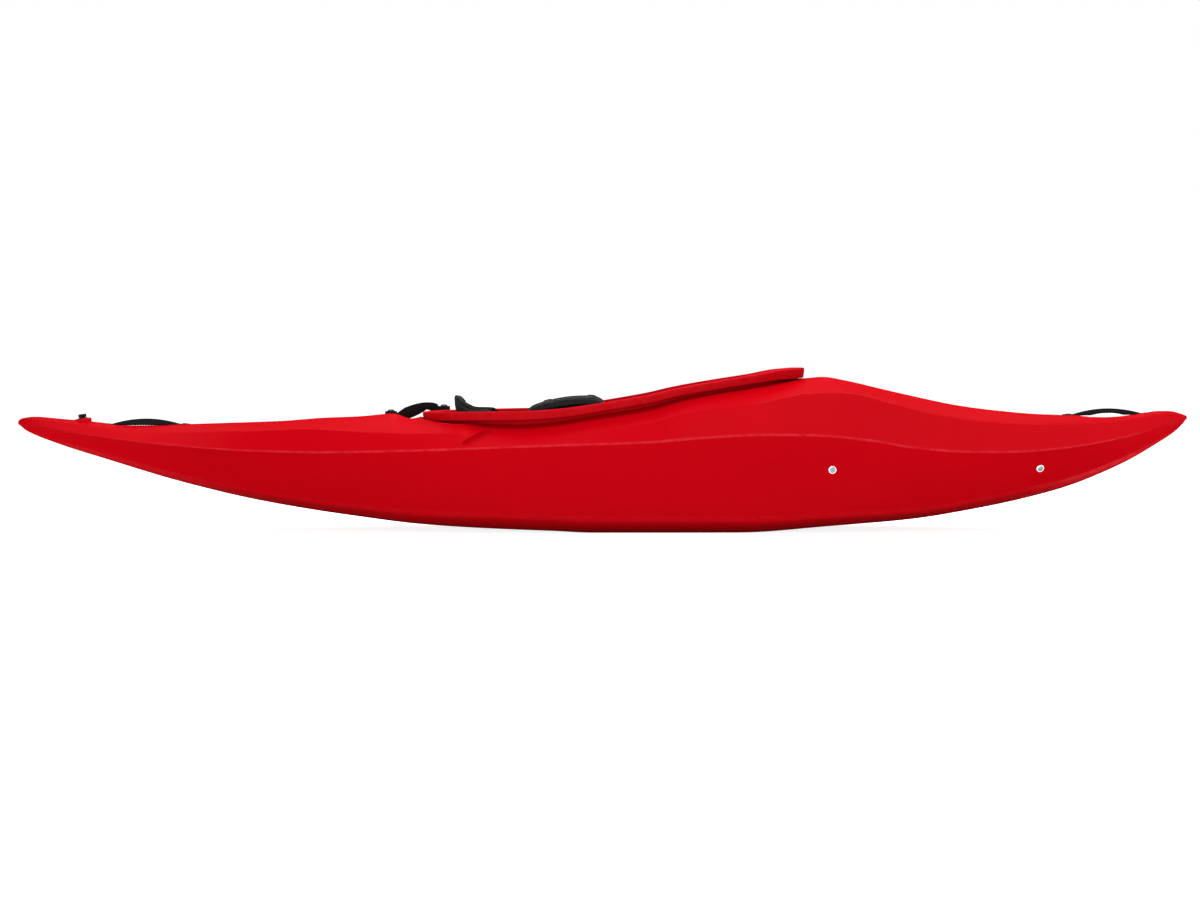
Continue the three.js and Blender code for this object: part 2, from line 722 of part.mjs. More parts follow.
function grabHandle() {
  const foot = handleSpan / 2 + handleFoot / 2;
  const inner = handleSpan / 2 - handleFoot / 2;
  const base = fitGap - handleSink;
  const top = base + handleFootThickness;
  const under = handleRise - handleThickness;
  const shape = new THREE.Shape();
  shape.moveTo(-foot, base);
  shape.lineTo(-inner, base);
  shape.quadraticCurveTo(-inner / 2, under, 0, under);
  shape.quadraticCurveTo(inner / 2, under, inner, base);
  shape.lineTo(foot, base);
  shape.lineTo(foot, top);
  shape.lineTo(inner, top);
  shape.quadraticCurveTo(inner / 2, handleRise, 0, handleRise);
  shape.quadraticCurveTo(-inner / 2, handleRise, -inner, top);
  shape.lineTo(-foot, top);
  let body = solid(plateAcross(shape, handleWidth, handleBevel));
  for (const end of [-1, 1]) {
    const hole = rod(screwShankRadius + holeGap, handleRise + handleSink)
      .translate(end * handleSpan / 2, 0, base - cutOverrun);
    body = body.subtract(solid(hole));
  }
  return body;
}

const handleScrewPoints = [];

for (const [name, x] of [['bow_handle', bowHandleX], ['stern_handle', sternHandleX]]) {
  const matrix = handleMatrix(x);
  addPiece(name, grabHandle(), black, matrix);
  for (const [label, end] of [['aft', -1], ['fore', 1]]) {
    const head = handleFootThickness + 2 * fitGap - handleSink;
    const seat = new THREE.Matrix4().makeTranslation(end * handleSpan / 2, 0, head);
    const place = matrix.clone().multiply(seat);
    const screw = fastener(screwHeadRadius, screwHeadHeight, screwShankRadius, screwLength);
    addPiece(`${name}_screw_${label}`, screw, steel, place);
    handleScrewPoints.push(place);
  }
}

// Security bar

const barX = rimRear - barAft;
const barBase = deckAt(barX, barOffset);
const barMounts = [['aft', -barSpan / 2, barRearHeight], ['fore', barSpan / 2, barFrontHeight]];

function securityBar() {
  const [rear, front] = [-barSpan / 2, barSpan / 2];
  const foot = barFootLength / 2;
  const under = barPeakHeight - barThickness;
  const shape = new THREE.Shape();
  shape.moveTo(rear - foot, -barFootDepth);
  shape.lineTo(rear + foot, -barFootDepth);
  shape.lineTo(rear + foot, barRearDip - barThickness);
  shape.quadraticCurveTo(-foot, barRearDip - barThickness, barPeakAhead, under);
  shape.lineTo(front - foot, barFrontHeight - barThickness);
  shape.lineTo(front - foot, -barFootDepth);
  shape.lineTo(front + foot, -barFootDepth);
  shape.lineTo(front + foot, barFrontHeight);
  shape.lineTo(front - foot, barFrontHeight);
  shape.quadraticCurveTo(front - foot, barPeakHeight, barPeakAhead, barPeakHeight);
  shape.quadraticCurveTo(0, barPeakHeight, rear / 2, (barPeakHeight + barRearDip) / 2);
  shape.quadraticCurveTo(rear + foot, barRearDip, rear + foot, barRearDip);
  shape.lineTo(rear + foot, barRearHeight);
  shape.lineTo(rear - foot, barRearHeight);
  const bar = plateAcross(shape, barWidth, barBevel).translate(barX, barOffset, barBase);
  let body = solid(bar).subtract(solid(hullForm(-fitGap, stationShares)));
  for (const [, end, height] of barMounts) {
    const bore = rod(boltShankRadius + holeGap, height + barFootDepth + cutOverrun);
    body = body.subtract(solid(bore.translate(barX + end, barOffset, barBase - barFootDepth)));
  }
  return body;
}

addPiece('security_bar', securityBar(), black);
const barBoltHoles = barMounts.map(([label, end, height]) => {
  const length = height + barBase - deckAt(barX + end, barOffset) + barBoltGrip;
  const place = moved(barX + end, barOffset, barBase + height + fitGap);
  const bolt = fastener(barBoltHeadRadius, barBoltHeadHeight, boltShankRadius, length);
  addPiece(`security_bar_bolt_${label}`, bolt, black, place);
  return rod(boltShankRadius + holeGap, length + cutOverrun).rotateX(Math.PI).applyMatrix4(place);
});

// Drain plug

const drainX = alongHull(drainShare);
const drainTilt = THREE.MathUtils.degToRad(drainTiltDegrees);
const drainMatrix = moved(drainX, 0, deckAt(drainX, 0) + drainBossHeight, -drainTilt);

// A knob whose rim swells in and out between lobes, along +Z.
function lobedKnob(radius, height, lobes, lobeDepth, bevel) {
  const points = [];
  const steps = lobes * 4;
  for (let i = 0; i < steps; i += 1) {
    const turn = i / steps * 2 * Math.PI;
    const reach = radius - lobeDepth * (1 - Math.cos(lobes * turn)) / 2;
    points.push(new THREE.Vector2(reach * Math.cos(turn), reach * Math.sin(turn)));
  }
  return new THREE.ExtrudeGeometry(new THREE.Shape(points), {
    depth: height - 2 * bevel,
    bevelEnabled: true,
    bevelThickness: bevel,
    bevelSize: bevel,
    bevelOffset: -bevel,
    bevelSegments: 1,
  }).translate(0, 0, bevel);
}

function drainParts() {
  const bush = turned([
    [drainBoreRadius, drainFlange - drainDepth], [drainBushRadius, drainFlange - drainDepth],
    [drainBushRadius, fitGap], [drainFlangeRadius, fitGap], [drainFlangeRadius, drainFlange],
    [drainBoreRadius, drainFlange], [drainBoreRadius, drainFlange - drainDepth],
  ], 20);
  addPiece('drain_bush', bush, black, drainMatrix);
  const sealBase = drainFlange + fitGap;
  const sealBore = plugStemRadius + fitGap;
  const seal = turned([
    [sealBore, sealBase], [sealRadius, sealBase], [sealRadius, sealBase + sealThickness],
    [sealBore, sealBase + sealThickness], [sealBore, sealBase],
  ], 20);
  addPiece('drain_seal', seal, rubber, drainMatrix);
  const knobBase = sealBase + sealThickness + fitGap;
  const knob = lobedKnob(plugKnobRadius, plugKnobHeight, plugLobes, plugLobeDepth, plugLobeDepth);
  const stem = rod(plugStemRadius, plugStemLength + plugKnobHeight / 2, 20)
    .translate(0, 0, knobBase - plugStemLength);
  const plug = solid(knob.translate(0, 0, knobBase)).add(solid(stem));
  addPiece('drain_plug', plug, black, drainMatrix);
}

drainParts();
const drainBoss = rod(drainBossRadius, drainBossHeight + drainBossDepth, 24)
  .translate(0, 0, -drainBossHeight - drainBossDepth).applyMatrix4(drainMatrix);
const drainBore = rod(drainBushRadius + holeGap, drainDepth * 2, 20)
  .translate(0, 0, -drainDepth * 2 + cutOverrun).applyMatrix4(drainMatrix);

// The hull shell: one moulding, open at the cockpit

// What the hull's skin is pressed in by, grown by a distance.
function pressings(growth) {
  return [
    scoop(bowHandleX, bowScoopWidth, bowScoopDepth, growth),
    scoop(sternHandleX, sternScoopWidth, sternScoopDepth, growth),
    notch(1, growth), notch(-1, growth),
    rimSpace(-skirtMargin - growth, (x) => grooveAt(x) - growth),
  ];
}

// The hollow inside the skin, less a gap for what is fitted to it.
function hollow(gap) {
  return pressings(hullWall + gap).reduce((body, cut) => body.subtract(cut),
    solid(hullForm(hullWall + gap, innerShares)));
}

const fitSpace = hollow(fitGap);

// Foot rest: a pair of rails bolted to the hull's sides, sliders on them, and a plate between.

function hullNormal(x, z) {
  const step = railBossRadius;
  const along = (sideAt(x + step, z) - sideAt(x - step, z)) / (2 * step);
  const up = (sideAt(x, z + step) - sideAt(x, z - step)) / (2 * step);
  return new THREE.Vector3(-along, 1, -up).normalize();
}

const railBoltHeight = deckHeight * railBoltShare;
const footPlateBottom = deckHeight * footPlateBottomShare;
const footPlateHeight = deckHeight * footPlateHeightShare;

// The port rail's bolts, with the starboard ones mirrored in Y.
const railBolts = [['aft', railRearShare], ['fore', railFrontShare]].map(([label, share]) => {
  const x = alongHull(share);
  const axis = hullNormal(x, railBoltHeight);
  const point = new THREE.Vector3(x, sideAt(x, railBoltHeight), railBoltHeight);
  const depth = (hullWall + railStandOff + railThickness / 2) / axis.y;
  return { label, axis, point, middle: point.clone().sub(new THREE.Vector3(0, depth, 0)) };
});

const railRun = railBolts[1].middle.clone().sub(railBolts[0].middle);
const railLength = railRun.length() + 2 * railMargin;
const railYaw = Math.atan2(railRun.y, railRun.x);
const railMiddle = railBolts[0].middle.clone().add(railBolts[1].middle).multiplyScalar(0.5);
const railYAt = (x) => railMiddle.y + (x - railMiddle.x) * Math.tan(railYaw);

const mirrorY = new THREE.Matrix4().makeScale(1, -1, 1);
const sides = [['port', 1], ['starboard', -1]];

// A piece made on the port side, as a solid on either side.
function onSide(geometry, side) {
  const copy = geometry.clone();
  if (side < 0) {
    copy.applyMatrix4(mirrorY);
    const merged = copy.index ? copy : mergeVertices(copy);
    merged.setIndex(Array.from(merged.index.array).reverse());
    return merged;
  }
  return copy;
}

const railFrame = new THREE.Matrix4().makeTranslation(railMiddle.x, railMiddle.y, railMiddle.z)
  .multiply(new THREE.Matrix4().makeRotationZ(railYaw));

function footRail() {
  const shape = new THREE.Shape();
  const half = railLength / 2;
  const top = railHeight / 2;
  const teeth = Math.floor((railRun.length() - 2 * railMargin) / railToothPitch);
  const start = -teeth * railToothPitch / 2;
  shape.moveTo(-half + top, -top);
  shape.lineTo(half - top, -top);
  shape.absarc(half - top, 0, top, -Math.PI / 2, Math.PI / 2);
  for (let i = teeth - 1; i >= 0; i -= 1) {
    const x = start + i * railToothPitch;
    shape.lineTo(x + railToothPitch, top);
    shape.lineTo(x + railToothPitch, top - railToothDepth);
    shape.lineTo(x + railToothPitch / 2, top - railToothDepth);
    shape.lineTo(x + railToothPitch / 2, top);
  }
  shape.lineTo(-half + top, top);
  shape.absarc(-half + top, 0, top, Math.PI / 2, 3 * Math.PI / 2);
  let body = solid(plateAcross(shape, railThickness).applyMatrix4(railFrame));
  for (const { axis, point } of railBolts) {
    const depth = hullWall + railStandOff + railThickness / 2;
    const start = point.clone().addScaledVector(axis, -depth);
    const boss = solid(rod(railBossRadius, depth).applyMatrix4(placed(start, axis)));
    body = body.add(boss.intersect(fitSpace));
  }
  for (const { axis, point } of railBolts) {
    const depth = hullWall + railStandOff + 2 * railThickness;
    const start = point.clone().addScaledVector(axis, -depth);
    const bore = rod(boltShankRadius + holeGap, depth + cutOverrun);
    body = body.subtract(solid(bore.applyMatrix4(placed(start, axis))));
  }
  return skinOf(body);
}

// A cup washer with a dished seat, and the raised bolt that sits in it.
function cupWasher() {
  const bore = boltShankRadius + holeGap;
  return turned([
    [bore, 0], [cupWasherRadius, 0], [cupWasherRadius, cupWasherLip / 2],
    [boltHeadRadius + cupWasherLip, cupWasherHeight], [boltHeadRadius + fitGap, cupWasherHeight],
    [bore, cupWasherLip], [bore, 0],
  ]);
}

function cupBolt(length) {
  const seat = cupWasherLip + 2 * fitGap;
  const brim = cupWasherHeight + fitGap;
  const crown = cupWasherHeight + cupWasherLip;
  return turned([
    [0, -length], [boltShankRadius, -length], [boltShankRadius, seat], [boltHeadRadius, brim],
    [boltHeadRadius * headCrownShare, crown], [socketRadius, crown], [socketRadius, crown - socketDepth],
    [0, crown - socketDepth],
  ], 10);
}

const railBoltLength = hullWall + railStandOff + railThickness + railBoltGrip;
const railHoles = [];
const rail = footRail();
for (const [sideName, side] of sides) {
  addPiece(`foot_rail_${sideName}`, onSide(rail, side), black);
  for (const { label, axis, point } of railBolts) {
    const outward = new THREE.Vector3(axis.x, side * axis.y, axis.z);
    const seat = new THREE.Vector3(point.x, side * point.y, point.z).addScaledVector(outward, fitGap);
    const place = placed(seat, outward);
    addPiece(`rail_washer_${sideName}_${label}`, cupWasher(), steel, place);
    addPiece(`rail_bolt_${sideName}_${label}`, cupBolt(railBoltLength), steel, place);
    railHoles.push(rod(boltShankRadius + holeGap, 2 * hullWall + cutOverrun)
      .translate(0, 0, -2 * hullWall).applyMatrix4(place));
  }
}

const footX = alongHull(footRestShare);
const footZ = railBoltHeight;
const railInner = railThickness / 2 + sliderRun + sliderWall;
const sideSlip = footTravel * Math.abs(Math.tan(railYaw));
const plateHalf = railYAt(footX) - sideSlip - (railThickness / 2) / Math.cos(railYaw) - footPlateGap;
const slotHalf = sideSlip + studRadius + holeGap;
const studY = plateHalf - slotHalf - footRibThickness;

function footSlider() {
  const back = railThickness / 2;
  const room = back + sliderRun;
  const high = railHeight / 2 + sliderRun;
  const outer = high + sliderWall;
  const shape = new THREE.Shape([
    [-railInner, -outer], [back, -outer], [back, -high], [-room, -high], [-room, high], [back, high],
    [back, outer], [-railInner, outer],
  ].map(([y, z]) => new THREE.Vector2(y, z)));
  const channel = new THREE.ExtrudeGeometry(shape, { depth: sliderLength, bevelEnabled: false })
    .rotateX(Math.PI / 2).rotateZ(Math.PI / 2)
    .applyMatrix4(new THREE.Matrix4().makeRotationZ(railYaw));
  const flangeX = footX + fitGap;
  const slant = railInner * Math.abs(Math.sin(railYaw));
  channel.translate(flangeX + slant, railYAt(flangeX + slant), footZ);
  const inner = studY - (flangeReach - 2 * slotHalf + 2 * studRadius) / 2;
  const reach = railYAt(flangeX + flangeThickness) - (back + sliderRun) / Math.cos(railYaw) - fitGap - inner;
  const flange = box(flangeThickness, reach, 2 * outer, flangeX + flangeThickness / 2, inner + reach / 2, footZ);
  const bore = rod(studRadius + holeGap, flangeThickness + 2 * cutOverrun).rotateY(Math.PI / 2)
    .translate(flangeX - cutOverrun, studY, footZ);
  return skinOf(solid(channel).add(solid(flange)).subtract(solid(bore)));
}

function footPlate() {
  const top = footPlateBottom + footPlateHeight;
  const low = plateHalf - footPlateCorner;
  const shape = new THREE.Shape();
  shape.moveTo(-low, footPlateBottom);
  shape.lineTo(low, footPlateBottom);
  shape.quadraticCurveTo(plateHalf, footPlateBottom, plateHalf, footPlateBottom + footPlateCorner);
  shape.lineTo(plateHalf, top - footPlateCorner);
  shape.quadraticCurveTo(plateHalf, top, low, top);
  shape.lineTo(-low, top);
  shape.quadraticCurveTo(-plateHalf, top, -plateHalf, top - footPlateCorner);
  shape.lineTo(-plateHalf, footPlateBottom + footPlateCorner);
  shape.quadraticCurveTo(-plateHalf, footPlateBottom, -low, footPlateBottom);
  const face = new THREE.ExtrudeGeometry(shape, { depth: footPlateThickness, bevelEnabled: false })
    .rotateX(Math.PI / 2).rotateZ(Math.PI / 2).translate(footX - footPlateThickness, 0, 0);
  let body = solid(face);
  const ribLength = 2 * (studY - flangeReach / 2) - 2 * footRibDepth;
  const middle = footPlateBottom + footPlateHeight / 2;
  for (const [y, z, width, height] of [
    [0, footPlateBottom + footPlateCorner, ribLength, footRibThickness],
    [0, top - footPlateCorner, ribLength, footRibThickness],
    [0, middle, footRibThickness, footPlateHeight - footPlateCorner],
    [-ribLength / 2, middle, footRibThickness, footPlateHeight - 2 * footPlateCorner],
    [ribLength / 2, middle, footRibThickness, footPlateHeight - 2 * footPlateCorner],
  ]) {
    body = body.add(solid(box(2 * footRibDepth, width, height, footX, y, z)));
  }
  const behind = box(2 * footRibDepth, 4 * plateHalf, 4 * footPlateHeight,
    footX - footPlateThickness - footRibDepth, 0, middle);
  body = body.subtract(solid(behind));
  for (const [, side] of sides) {
    const slot = box(4 * footPlateThickness, 2 * sideSlip, 2 * (studRadius + holeGap), footX, side * studY, footZ);
    body = body.subtract(solid(slot));
    for (const end of [-1, 1]) {
      const bore = rod(studRadius + holeGap, 4 * footPlateThickness).rotateY(Math.PI / 2)
        .translate(footX - 2 * footPlateThickness, side * studY + end * sideSlip, footZ);
      body = body.subtract(solid(bore));
    }
  }
  return body;
}

// A pad in the Y-Z plane whose edges round over, from x = 0 towards -X.
function roundedPad(width, height, thickness, round, crown) {
  const rings = [[0, round / 2], [round / 2, 0], [thickness - round, 0], [thickness, round]];
  const steps = 24;
  return loft(rings.map(([depth, inset]) => Array.from({ length: steps }, (_, i) => {
    const turn = (i + 0.5) / steps * 2 * Math.PI;
    const squared = (value) => Math.sign(value) * Math.sqrt(Math.abs(value));
    return new THREE.Vector3(-depth, (width / 2 - inset) * squared(Math.cos(turn)),
      (height / 2 - inset) * squared(Math.sin(turn)));
  })).concat([Array.from({ length: steps }, (_, i) => {
    const turn = (i + 0.5) / steps * 2 * Math.PI;
    return new THREE.Vector3(-thickness - crown, width / 4 * Math.cos(turn), height / 4 * Math.sin(turn));
  })]));
}

addPiece('foot_plate', footPlate(), black);
const footPadHeight = footPlateHeight - 2 * footPadInset;
const footPad = roundedPad(footPadWidth, footPadHeight, footPadThickness - footPadRound / 4, footPadRound,
  footPadRound / 4);
addPiece('foot_pad', footPad, foam,
  moved(footX - footPlateThickness - fitGap, 0, footPlateBottom + footPlateHeight / 2));
const slider = footSlider();
for (const [sideName, side] of sides) {
  addPiece(`foot_slider_${sideName}`, onSide(slider, side), black);
  const knob = solid(lobedKnob(knobRadius, knobHeight, knobLobes, knobLobeDepth, knobLobeDepth));
  const stud = rod(studRadius, knobHeight / 2 + footPlateThickness + flangeThickness + 3 * fitGap)
    .rotateX(Math.PI).translate(0, 0, knobHeight / 2);
  const seat = new THREE.Vector3(footX - footPlateThickness - fitGap, side * studY, footZ);
  addPiece(`foot_knob_${sideName}`, knob.add(solid(stud)), black,
    placed(seat, new THREE.Vector3(-1, 0, 0)));
}

// Foam pillars that hold the deck up from the floor

const handleReach = (handleSpan + handleFoot) / 2 + pillarGap;
for (const [name, end, way, length] of [
  ['front_pillar', bowHandleX - handleReach, -1, frontPillarLength],
  ['rear_pillar', sternHandleX + handleReach, 1, rearPillarLength],
]) {
  const slab = box(length, pillarThickness, 4 * deckHeight, end + way * length / 2, 0, 0);
  addPiece(name, solid(slab).intersect(fitSpace), paleFoam);
}

// Seat

const seatRear = rimRear + seatSetback;
const seatFloor = lineThrough(seatFloorShares);
const seatWing = lineThrough(seatWingShares);
const seatEarHeight = deckHeight * seatEarShare;
const bandTop = deckHeight * bandTopShare;
const bandBottom = deckHeight * bandBottomShare;
const bandPivotHeight = deckHeight * bandPivotShare;

// Half the seat's underside at a share of its length, from the middle out, as [y, z] pairs.
function seatSection(share) {
  const floor = seatRearHeight * seatFloor(share);
  const wing = seatEarHeight * seatWing(share);
  const side = Math.min(seatSideRound, wing - seatRimDrop - floor);
  const points = seatAcrossShares.map((across, i) => {
    const rise = i === 0 ? seatRidge : side * seatDishShares[i];
    return [seatWidth / 2 * across, floor + rise];
  });
  return [...points, [seatWidth / 2, wing]];
}

// The same line moved up and in by a distance.
function raised(points, depth) {
  const normal = (a, b) => {
    const length = Math.hypot(b[0] - a[0], b[1] - a[1]);
    return [-(b[1] - a[1]) / length, (b[0] - a[0]) / length];
  };
  return points.map((point, i) => {
    const before = normal(points[Math.max(i - 1, 0)], points[Math.max(i, 1)]);
    const after = normal(points[Math.min(i, points.length - 2)], points[Math.min(i + 1, points.length - 1)]);
    const reach = depth / (1 + before[0] * after[0] + before[1] * after[1]);
    const across = i === 0 ? 0 : (before[0] + after[0]) * reach;
    return [point[0] + across, point[1] + (before[1] + after[1]) * reach];
  });
}

// The height of the seat's upper face at a share of its length, off to one side.
function seatTopAt(share, y) {
  const last = seatStationShares.findIndex((station) => station >= share);
  const ends = [Math.max(last - 1, 0), last].map((i) => seatStationShares[i]);
  const along = last > 0 ? (share - ends[0]) / (ends[1] - ends[0]) : 0;
  const [near, far] = ends.map((station) => {
    const points = raised(seatSection(station), seatWall);
    let i = 0;
    while (i < points.length - 2 && Math.abs(y) > points[i + 1][0]) i += 1;
    const t = (Math.abs(y) - points[i][0]) / (points[i + 1][0] - points[i][0]);
    return points[i][1] + (points[i + 1][1] - points[i][1]) * t;
  });
  return near + (far - near) * along;
}

const mirrored = (points) => [...points.slice(1).reverse().map(([y, z]) => [-y, z]), ...points];
const pivotX = seatRear + bandThickness / 2 + bandDepth - bandPivotInset;
const bandSide = seatWidth / 2 - seatWall / 2 - bandTiltRoom - earBossReach;
const bandInner = bandSide - bandThickness;
const bandWidth = 2 * bandSide - bandThickness;

function seatPan() {
  const rings = seatStationShares.map((share) => {
    const under = seatSection(share);
    const over = raised(under, seatWall);
    return [...mirrored(under), ...mirrored(over).reverse()]
      .map(([y, z]) => new THREE.Vector3(seatRear + share * seatLength, y, z));
  });
  let body = solid(loft(rings));
  const keelRings = seatStationShares.map((share) => {
    const x = seatRear + Math.min(Math.max(share * seatLength, seatKeelInset), seatLength - seatKeelInset);
    const top = seatSection((x - seatRear) / seatLength)[0][1] + seatWall / 2;
    const half = seatKeelWidth / 2;
    return { x, ring: [[-half, trackTop + fitGap], [half, trackTop + fitGap], [half, top - seatRidge],
      [0, top], [-half, top - seatRidge]].map(([y, z]) => new THREE.Vector3(x, y, z)) };
  }).filter(({ x }, i, all) => i === 0 || x > all[i - 1].x);
  body = body.add(solid(loft(keelRings.map(({ ring }) => ring))));
  for (const [, side] of sides) {
    const boss = rod(earBossRadius, earBossReach, 16).rotateX(-Math.PI / 2)
      .translate(pivotX, bandSide + bandTiltRoom, bandPivotHeight);
    const bore = rod(rivetShankRadius + holeGap, seatWidth).rotateX(-Math.PI / 2)
      .translate(pivotX, 0, bandPivotHeight);
    body = body.add(solid(onSide(boss, side))).subtract(solid(onSide(bore, side)));
  }
  for (const share of seatBoltShares) {
    const bore = rod(boltShankRadius + holeGap, 4 * seatRearHeight)
      .translate(seatRear + share * seatLength, 0, -seatRearHeight);
    body = body.subtract(solid(bore)).subtract(solid(seatPocket(share, boltHeadRadius + fitGap)));
  }
  return body;
}

// The flat recess under a seat bolt's head, open upwards.
function seatPocket(share, radius) {
  return rod(radius, seatEarHeight, 16)
    .translate(seatRear + share * seatLength, 0, seatTopAt(share, 0) - seatPocketDepth);
}

// The track that the seat slides on, trimmed to the hull's floor.
function seatTrack() {
  const start = seatRear + trackInset;
  const end = seatRear + seatLength + trackOverhang;
  let body = solid(box(end - start, trackWidth, 2 * trackTop, (start + end) / 2, 0, 0)).intersect(fitSpace);
  const room = boltShankRadius + holeGap;
  for (const share of seatBoltShares) {
    const x = seatRear + share * seatLength;
    const middle = x + (seatTravelFore - seatTravelAft) / 2;
    const length = seatTravelFore + seatTravelAft + 2 * room;
    body = body.subtract(solid(box(length, 2 * room, 4 * trackTop, middle, 0, 0)));
  }
  return body;
}

// A moulded seat pad: a dished cushion that follows the seat's floor.
function seatPad() {
  const across = lineThrough(padAcrossShares);
  const along = lineThrough(padAlongShares);
  const length = seatPadLength / seatLength;
  const start = seatPadPlaceShare;
  const inside = seatStationShares.filter((share) => share > start && share < start + length);
  const places = padEdgeShares.map((t) => start + t * length);
  const folds = seatAcrossShares.slice(1, 3).map((share) => share * seatWidth / 2);
  const rings = [...inside, ...places].sort((a, b) => a - b).map((share) => {
    const t = (share - start) / length;
    const half = seatWidth / 2 * seatPadWidthShare - seatPadDraw * Math.sin(t * Math.PI);
    const marks = [0, ...folds, half - seatPadThickness, half - seatPadThickness / 3, half];
    const under = mirrored(marks.map((y) => [y, seatTopAt(share, y) + seatPadLift]));
    const over = under.map(([y, z]) => [y, z + seatPadThickness * across(Math.abs(y) / half) * along(t)]);
    return [...under, ...over.reverse()]
      .map(([y, z]) => new THREE.Vector3(seatRear + share * seatLength, y, z));
  });
  let body = solid(loft(rings));
  for (const share of seatBoltShares) {
    body = body.subtract(solid(seatPocket(share, boltHeadRadius + 2 * fitGap)));
  }
  return body;
}

addPiece('seat_track', seatTrack(), black);
addPiece('seat_pan', seatPan(), black);
addPiece('seat_pad', seatPad(), charcoal);
seatBoltShares.forEach((share, i) => {
  const top = seatTopAt(share, 0) - seatPocketDepth + fitGap;
  const bolt = fastener(boltHeadRadius, boltHeadHeight, boltShankRadius, top - trackTop + seatBoltGrip);
  addPiece(`seat_bolt_${['aft', 'fore'][i]}`, bolt, steel, moved(seatRear + share * seatLength, 0, top));
});

// Foam pads on the seat's sides, against the hips.
function hipPad() {
  const crown = lineThrough(hipPadCrownShares);
  const steps = 20;
  const rings = [0, 0.3, 0.75, 1].map((depth) => Array.from({ length: steps }, (_, i) => {
    const turn = (i + 0.5) / steps * 2 * Math.PI;
    const squared = (value) => Math.sign(value) * Math.sqrt(Math.abs(value));
    const size = crown(depth);
    return new THREE.Vector3(squared(Math.cos(turn)) * size * hipPadLength / 2,
      -depth * hipPadThickness, squared(Math.sin(turn)) * size * hipPadHeight / 2);
  }));
  return loft(rings).translate(seatRear + hipPadPlaceShare * seatLength,
    seatWidth / 2 - seatWall - fitGap, hipPadRise);
}

for (const [sideName, side] of sides) {
  addPiece(`hip_pad_${sideName}`, onSide(hipPad(), side), foam);
}

// Backband: a padded band that wraps the lower back and tilts on two rivets.

function bandPoint(u) {
  const away = Math.abs(u);
  const x = seatRear + bandThickness / 2 + bandDepth * away ** bandBendShare;
  return new THREE.Vector2(x, Math.sign(u) * bandWidth / 2 * away ** bandSpreadShare);
}

function backband() {
  const top = lineThrough(bandTopShares);
  const bottom = lineThrough(bandBottomShares);
  const rings = bandStationShares.map((u) => {
    const step = 1 / 100;
    const run = bandPoint(Math.min(u + step, 1)).sub(bandPoint(Math.max(u - step, -1))).normalize();
    const middle = bandPoint(u);
    const full = bandTop - bandBottom;
    const low = bandBottom + full * bottom(Math.abs(u));
    const high = bandBottom + full * top(Math.abs(u));
    const swell = Math.abs(u) === 1 ? bandEndShare : 1;
    const face = (sign) => bandFaceShares.map(([up, out]) => {
      const z = (low + high) / 2 + (high - low) / 2 * up;
      const shift = sign * (out * swell + (1 - Math.abs(up)) / 40) * bandThickness;
      const lean = bandLeanShare * (bandTop - z) * (1 - Math.abs(u));
      return new THREE.Vector3(middle.x + lean - run.y * shift, middle.y + run.x * shift, z);
    });
    const front = face(-1);
    const back = face(1).slice(1, -1).reverse();
    return [...front, ...back];
  });
  let body = solid(loft(rings));
  const bore = rod(rivetShankRadius + holeGap, 2 * seatWidth).rotateX(Math.PI / 2)
    .translate(pivotX, seatWidth, bandPivotHeight);
  body = body.subtract(solid(bore));
  for (const [, side] of sides) {
    const pocket = rod(rivetRadius + 2 * fitGap, bandThickness, 16).rotateX(Math.PI / 2)
      .translate(pivotX, bandInner, bandPivotHeight);
    body = body.subtract(solid(onSide(pocket, side)));
  }
  return body;
}

addPiece('backband', backband(), charcoal);

// Straps and ratchets on the outside of the seat's wings

const strapY = seatWidth / 2 + fitGap;
const ratchetReach = seatLength * ratchetReachShare;
const strapAngle = Math.atan2(ratchetDrop, ratchetReach);
const strapRun = Math.hypot(ratchetDrop, ratchetReach);
const rivetLength = strapY + strapThickness + rivetTail - bandInner;

// A frame at the rivet: X runs down the strap, Z is out from the seat, Y is across the strap.
const strapFrame = new THREE.Matrix4().makeTranslation(pivotX, strapY, bandPivotHeight)
  .multiply(new THREE.Matrix4().makeRotationY(strapAngle))
  .multiply(new THREE.Matrix4().makeRotationX(-Math.PI / 2));

function ladderStrap() {
  const shape = new THREE.Shape();
  const end = strapRun + strapTail;
  const first = strapRun - strapTail - ratchetLength / 2;
  shape.moveTo(-strapWidth / 2, 0);
  shape.lineTo(end, 0);
  shape.lineTo(end, strapThickness - strapToothHeight);
  for (let i = strapTeeth - 1; i >= 0; i -= 1) {
    const x = first + i * strapToothPitch;
    shape.lineTo(x + strapToothPitch, strapThickness - strapToothHeight);
    shape.lineTo(x + strapToothPitch / 2, strapThickness);
    shape.lineTo(x, strapThickness - strapToothHeight);
  }
  shape.lineTo(first - strapToothPitch, strapThickness);
  shape.lineTo(-strapWidth / 2, strapThickness);
  const strap = plateAcross(shape, strapWidth);
  const bore = rod(rivetShankRadius + holeGap, strapThickness + 2 * cutOverrun).translate(0, 0, -cutOverrun);
  return skinOf(solid(strap).subtract(solid(bore))).applyMatrix4(strapFrame);
}

const channelHalf = strapWidth / 2 + fitGap;
const leverAxleX = strapRun - ratchetLength / 4;
const leverAxleZ = ratchetHeight - axleRadius - ratchetWall / 2;

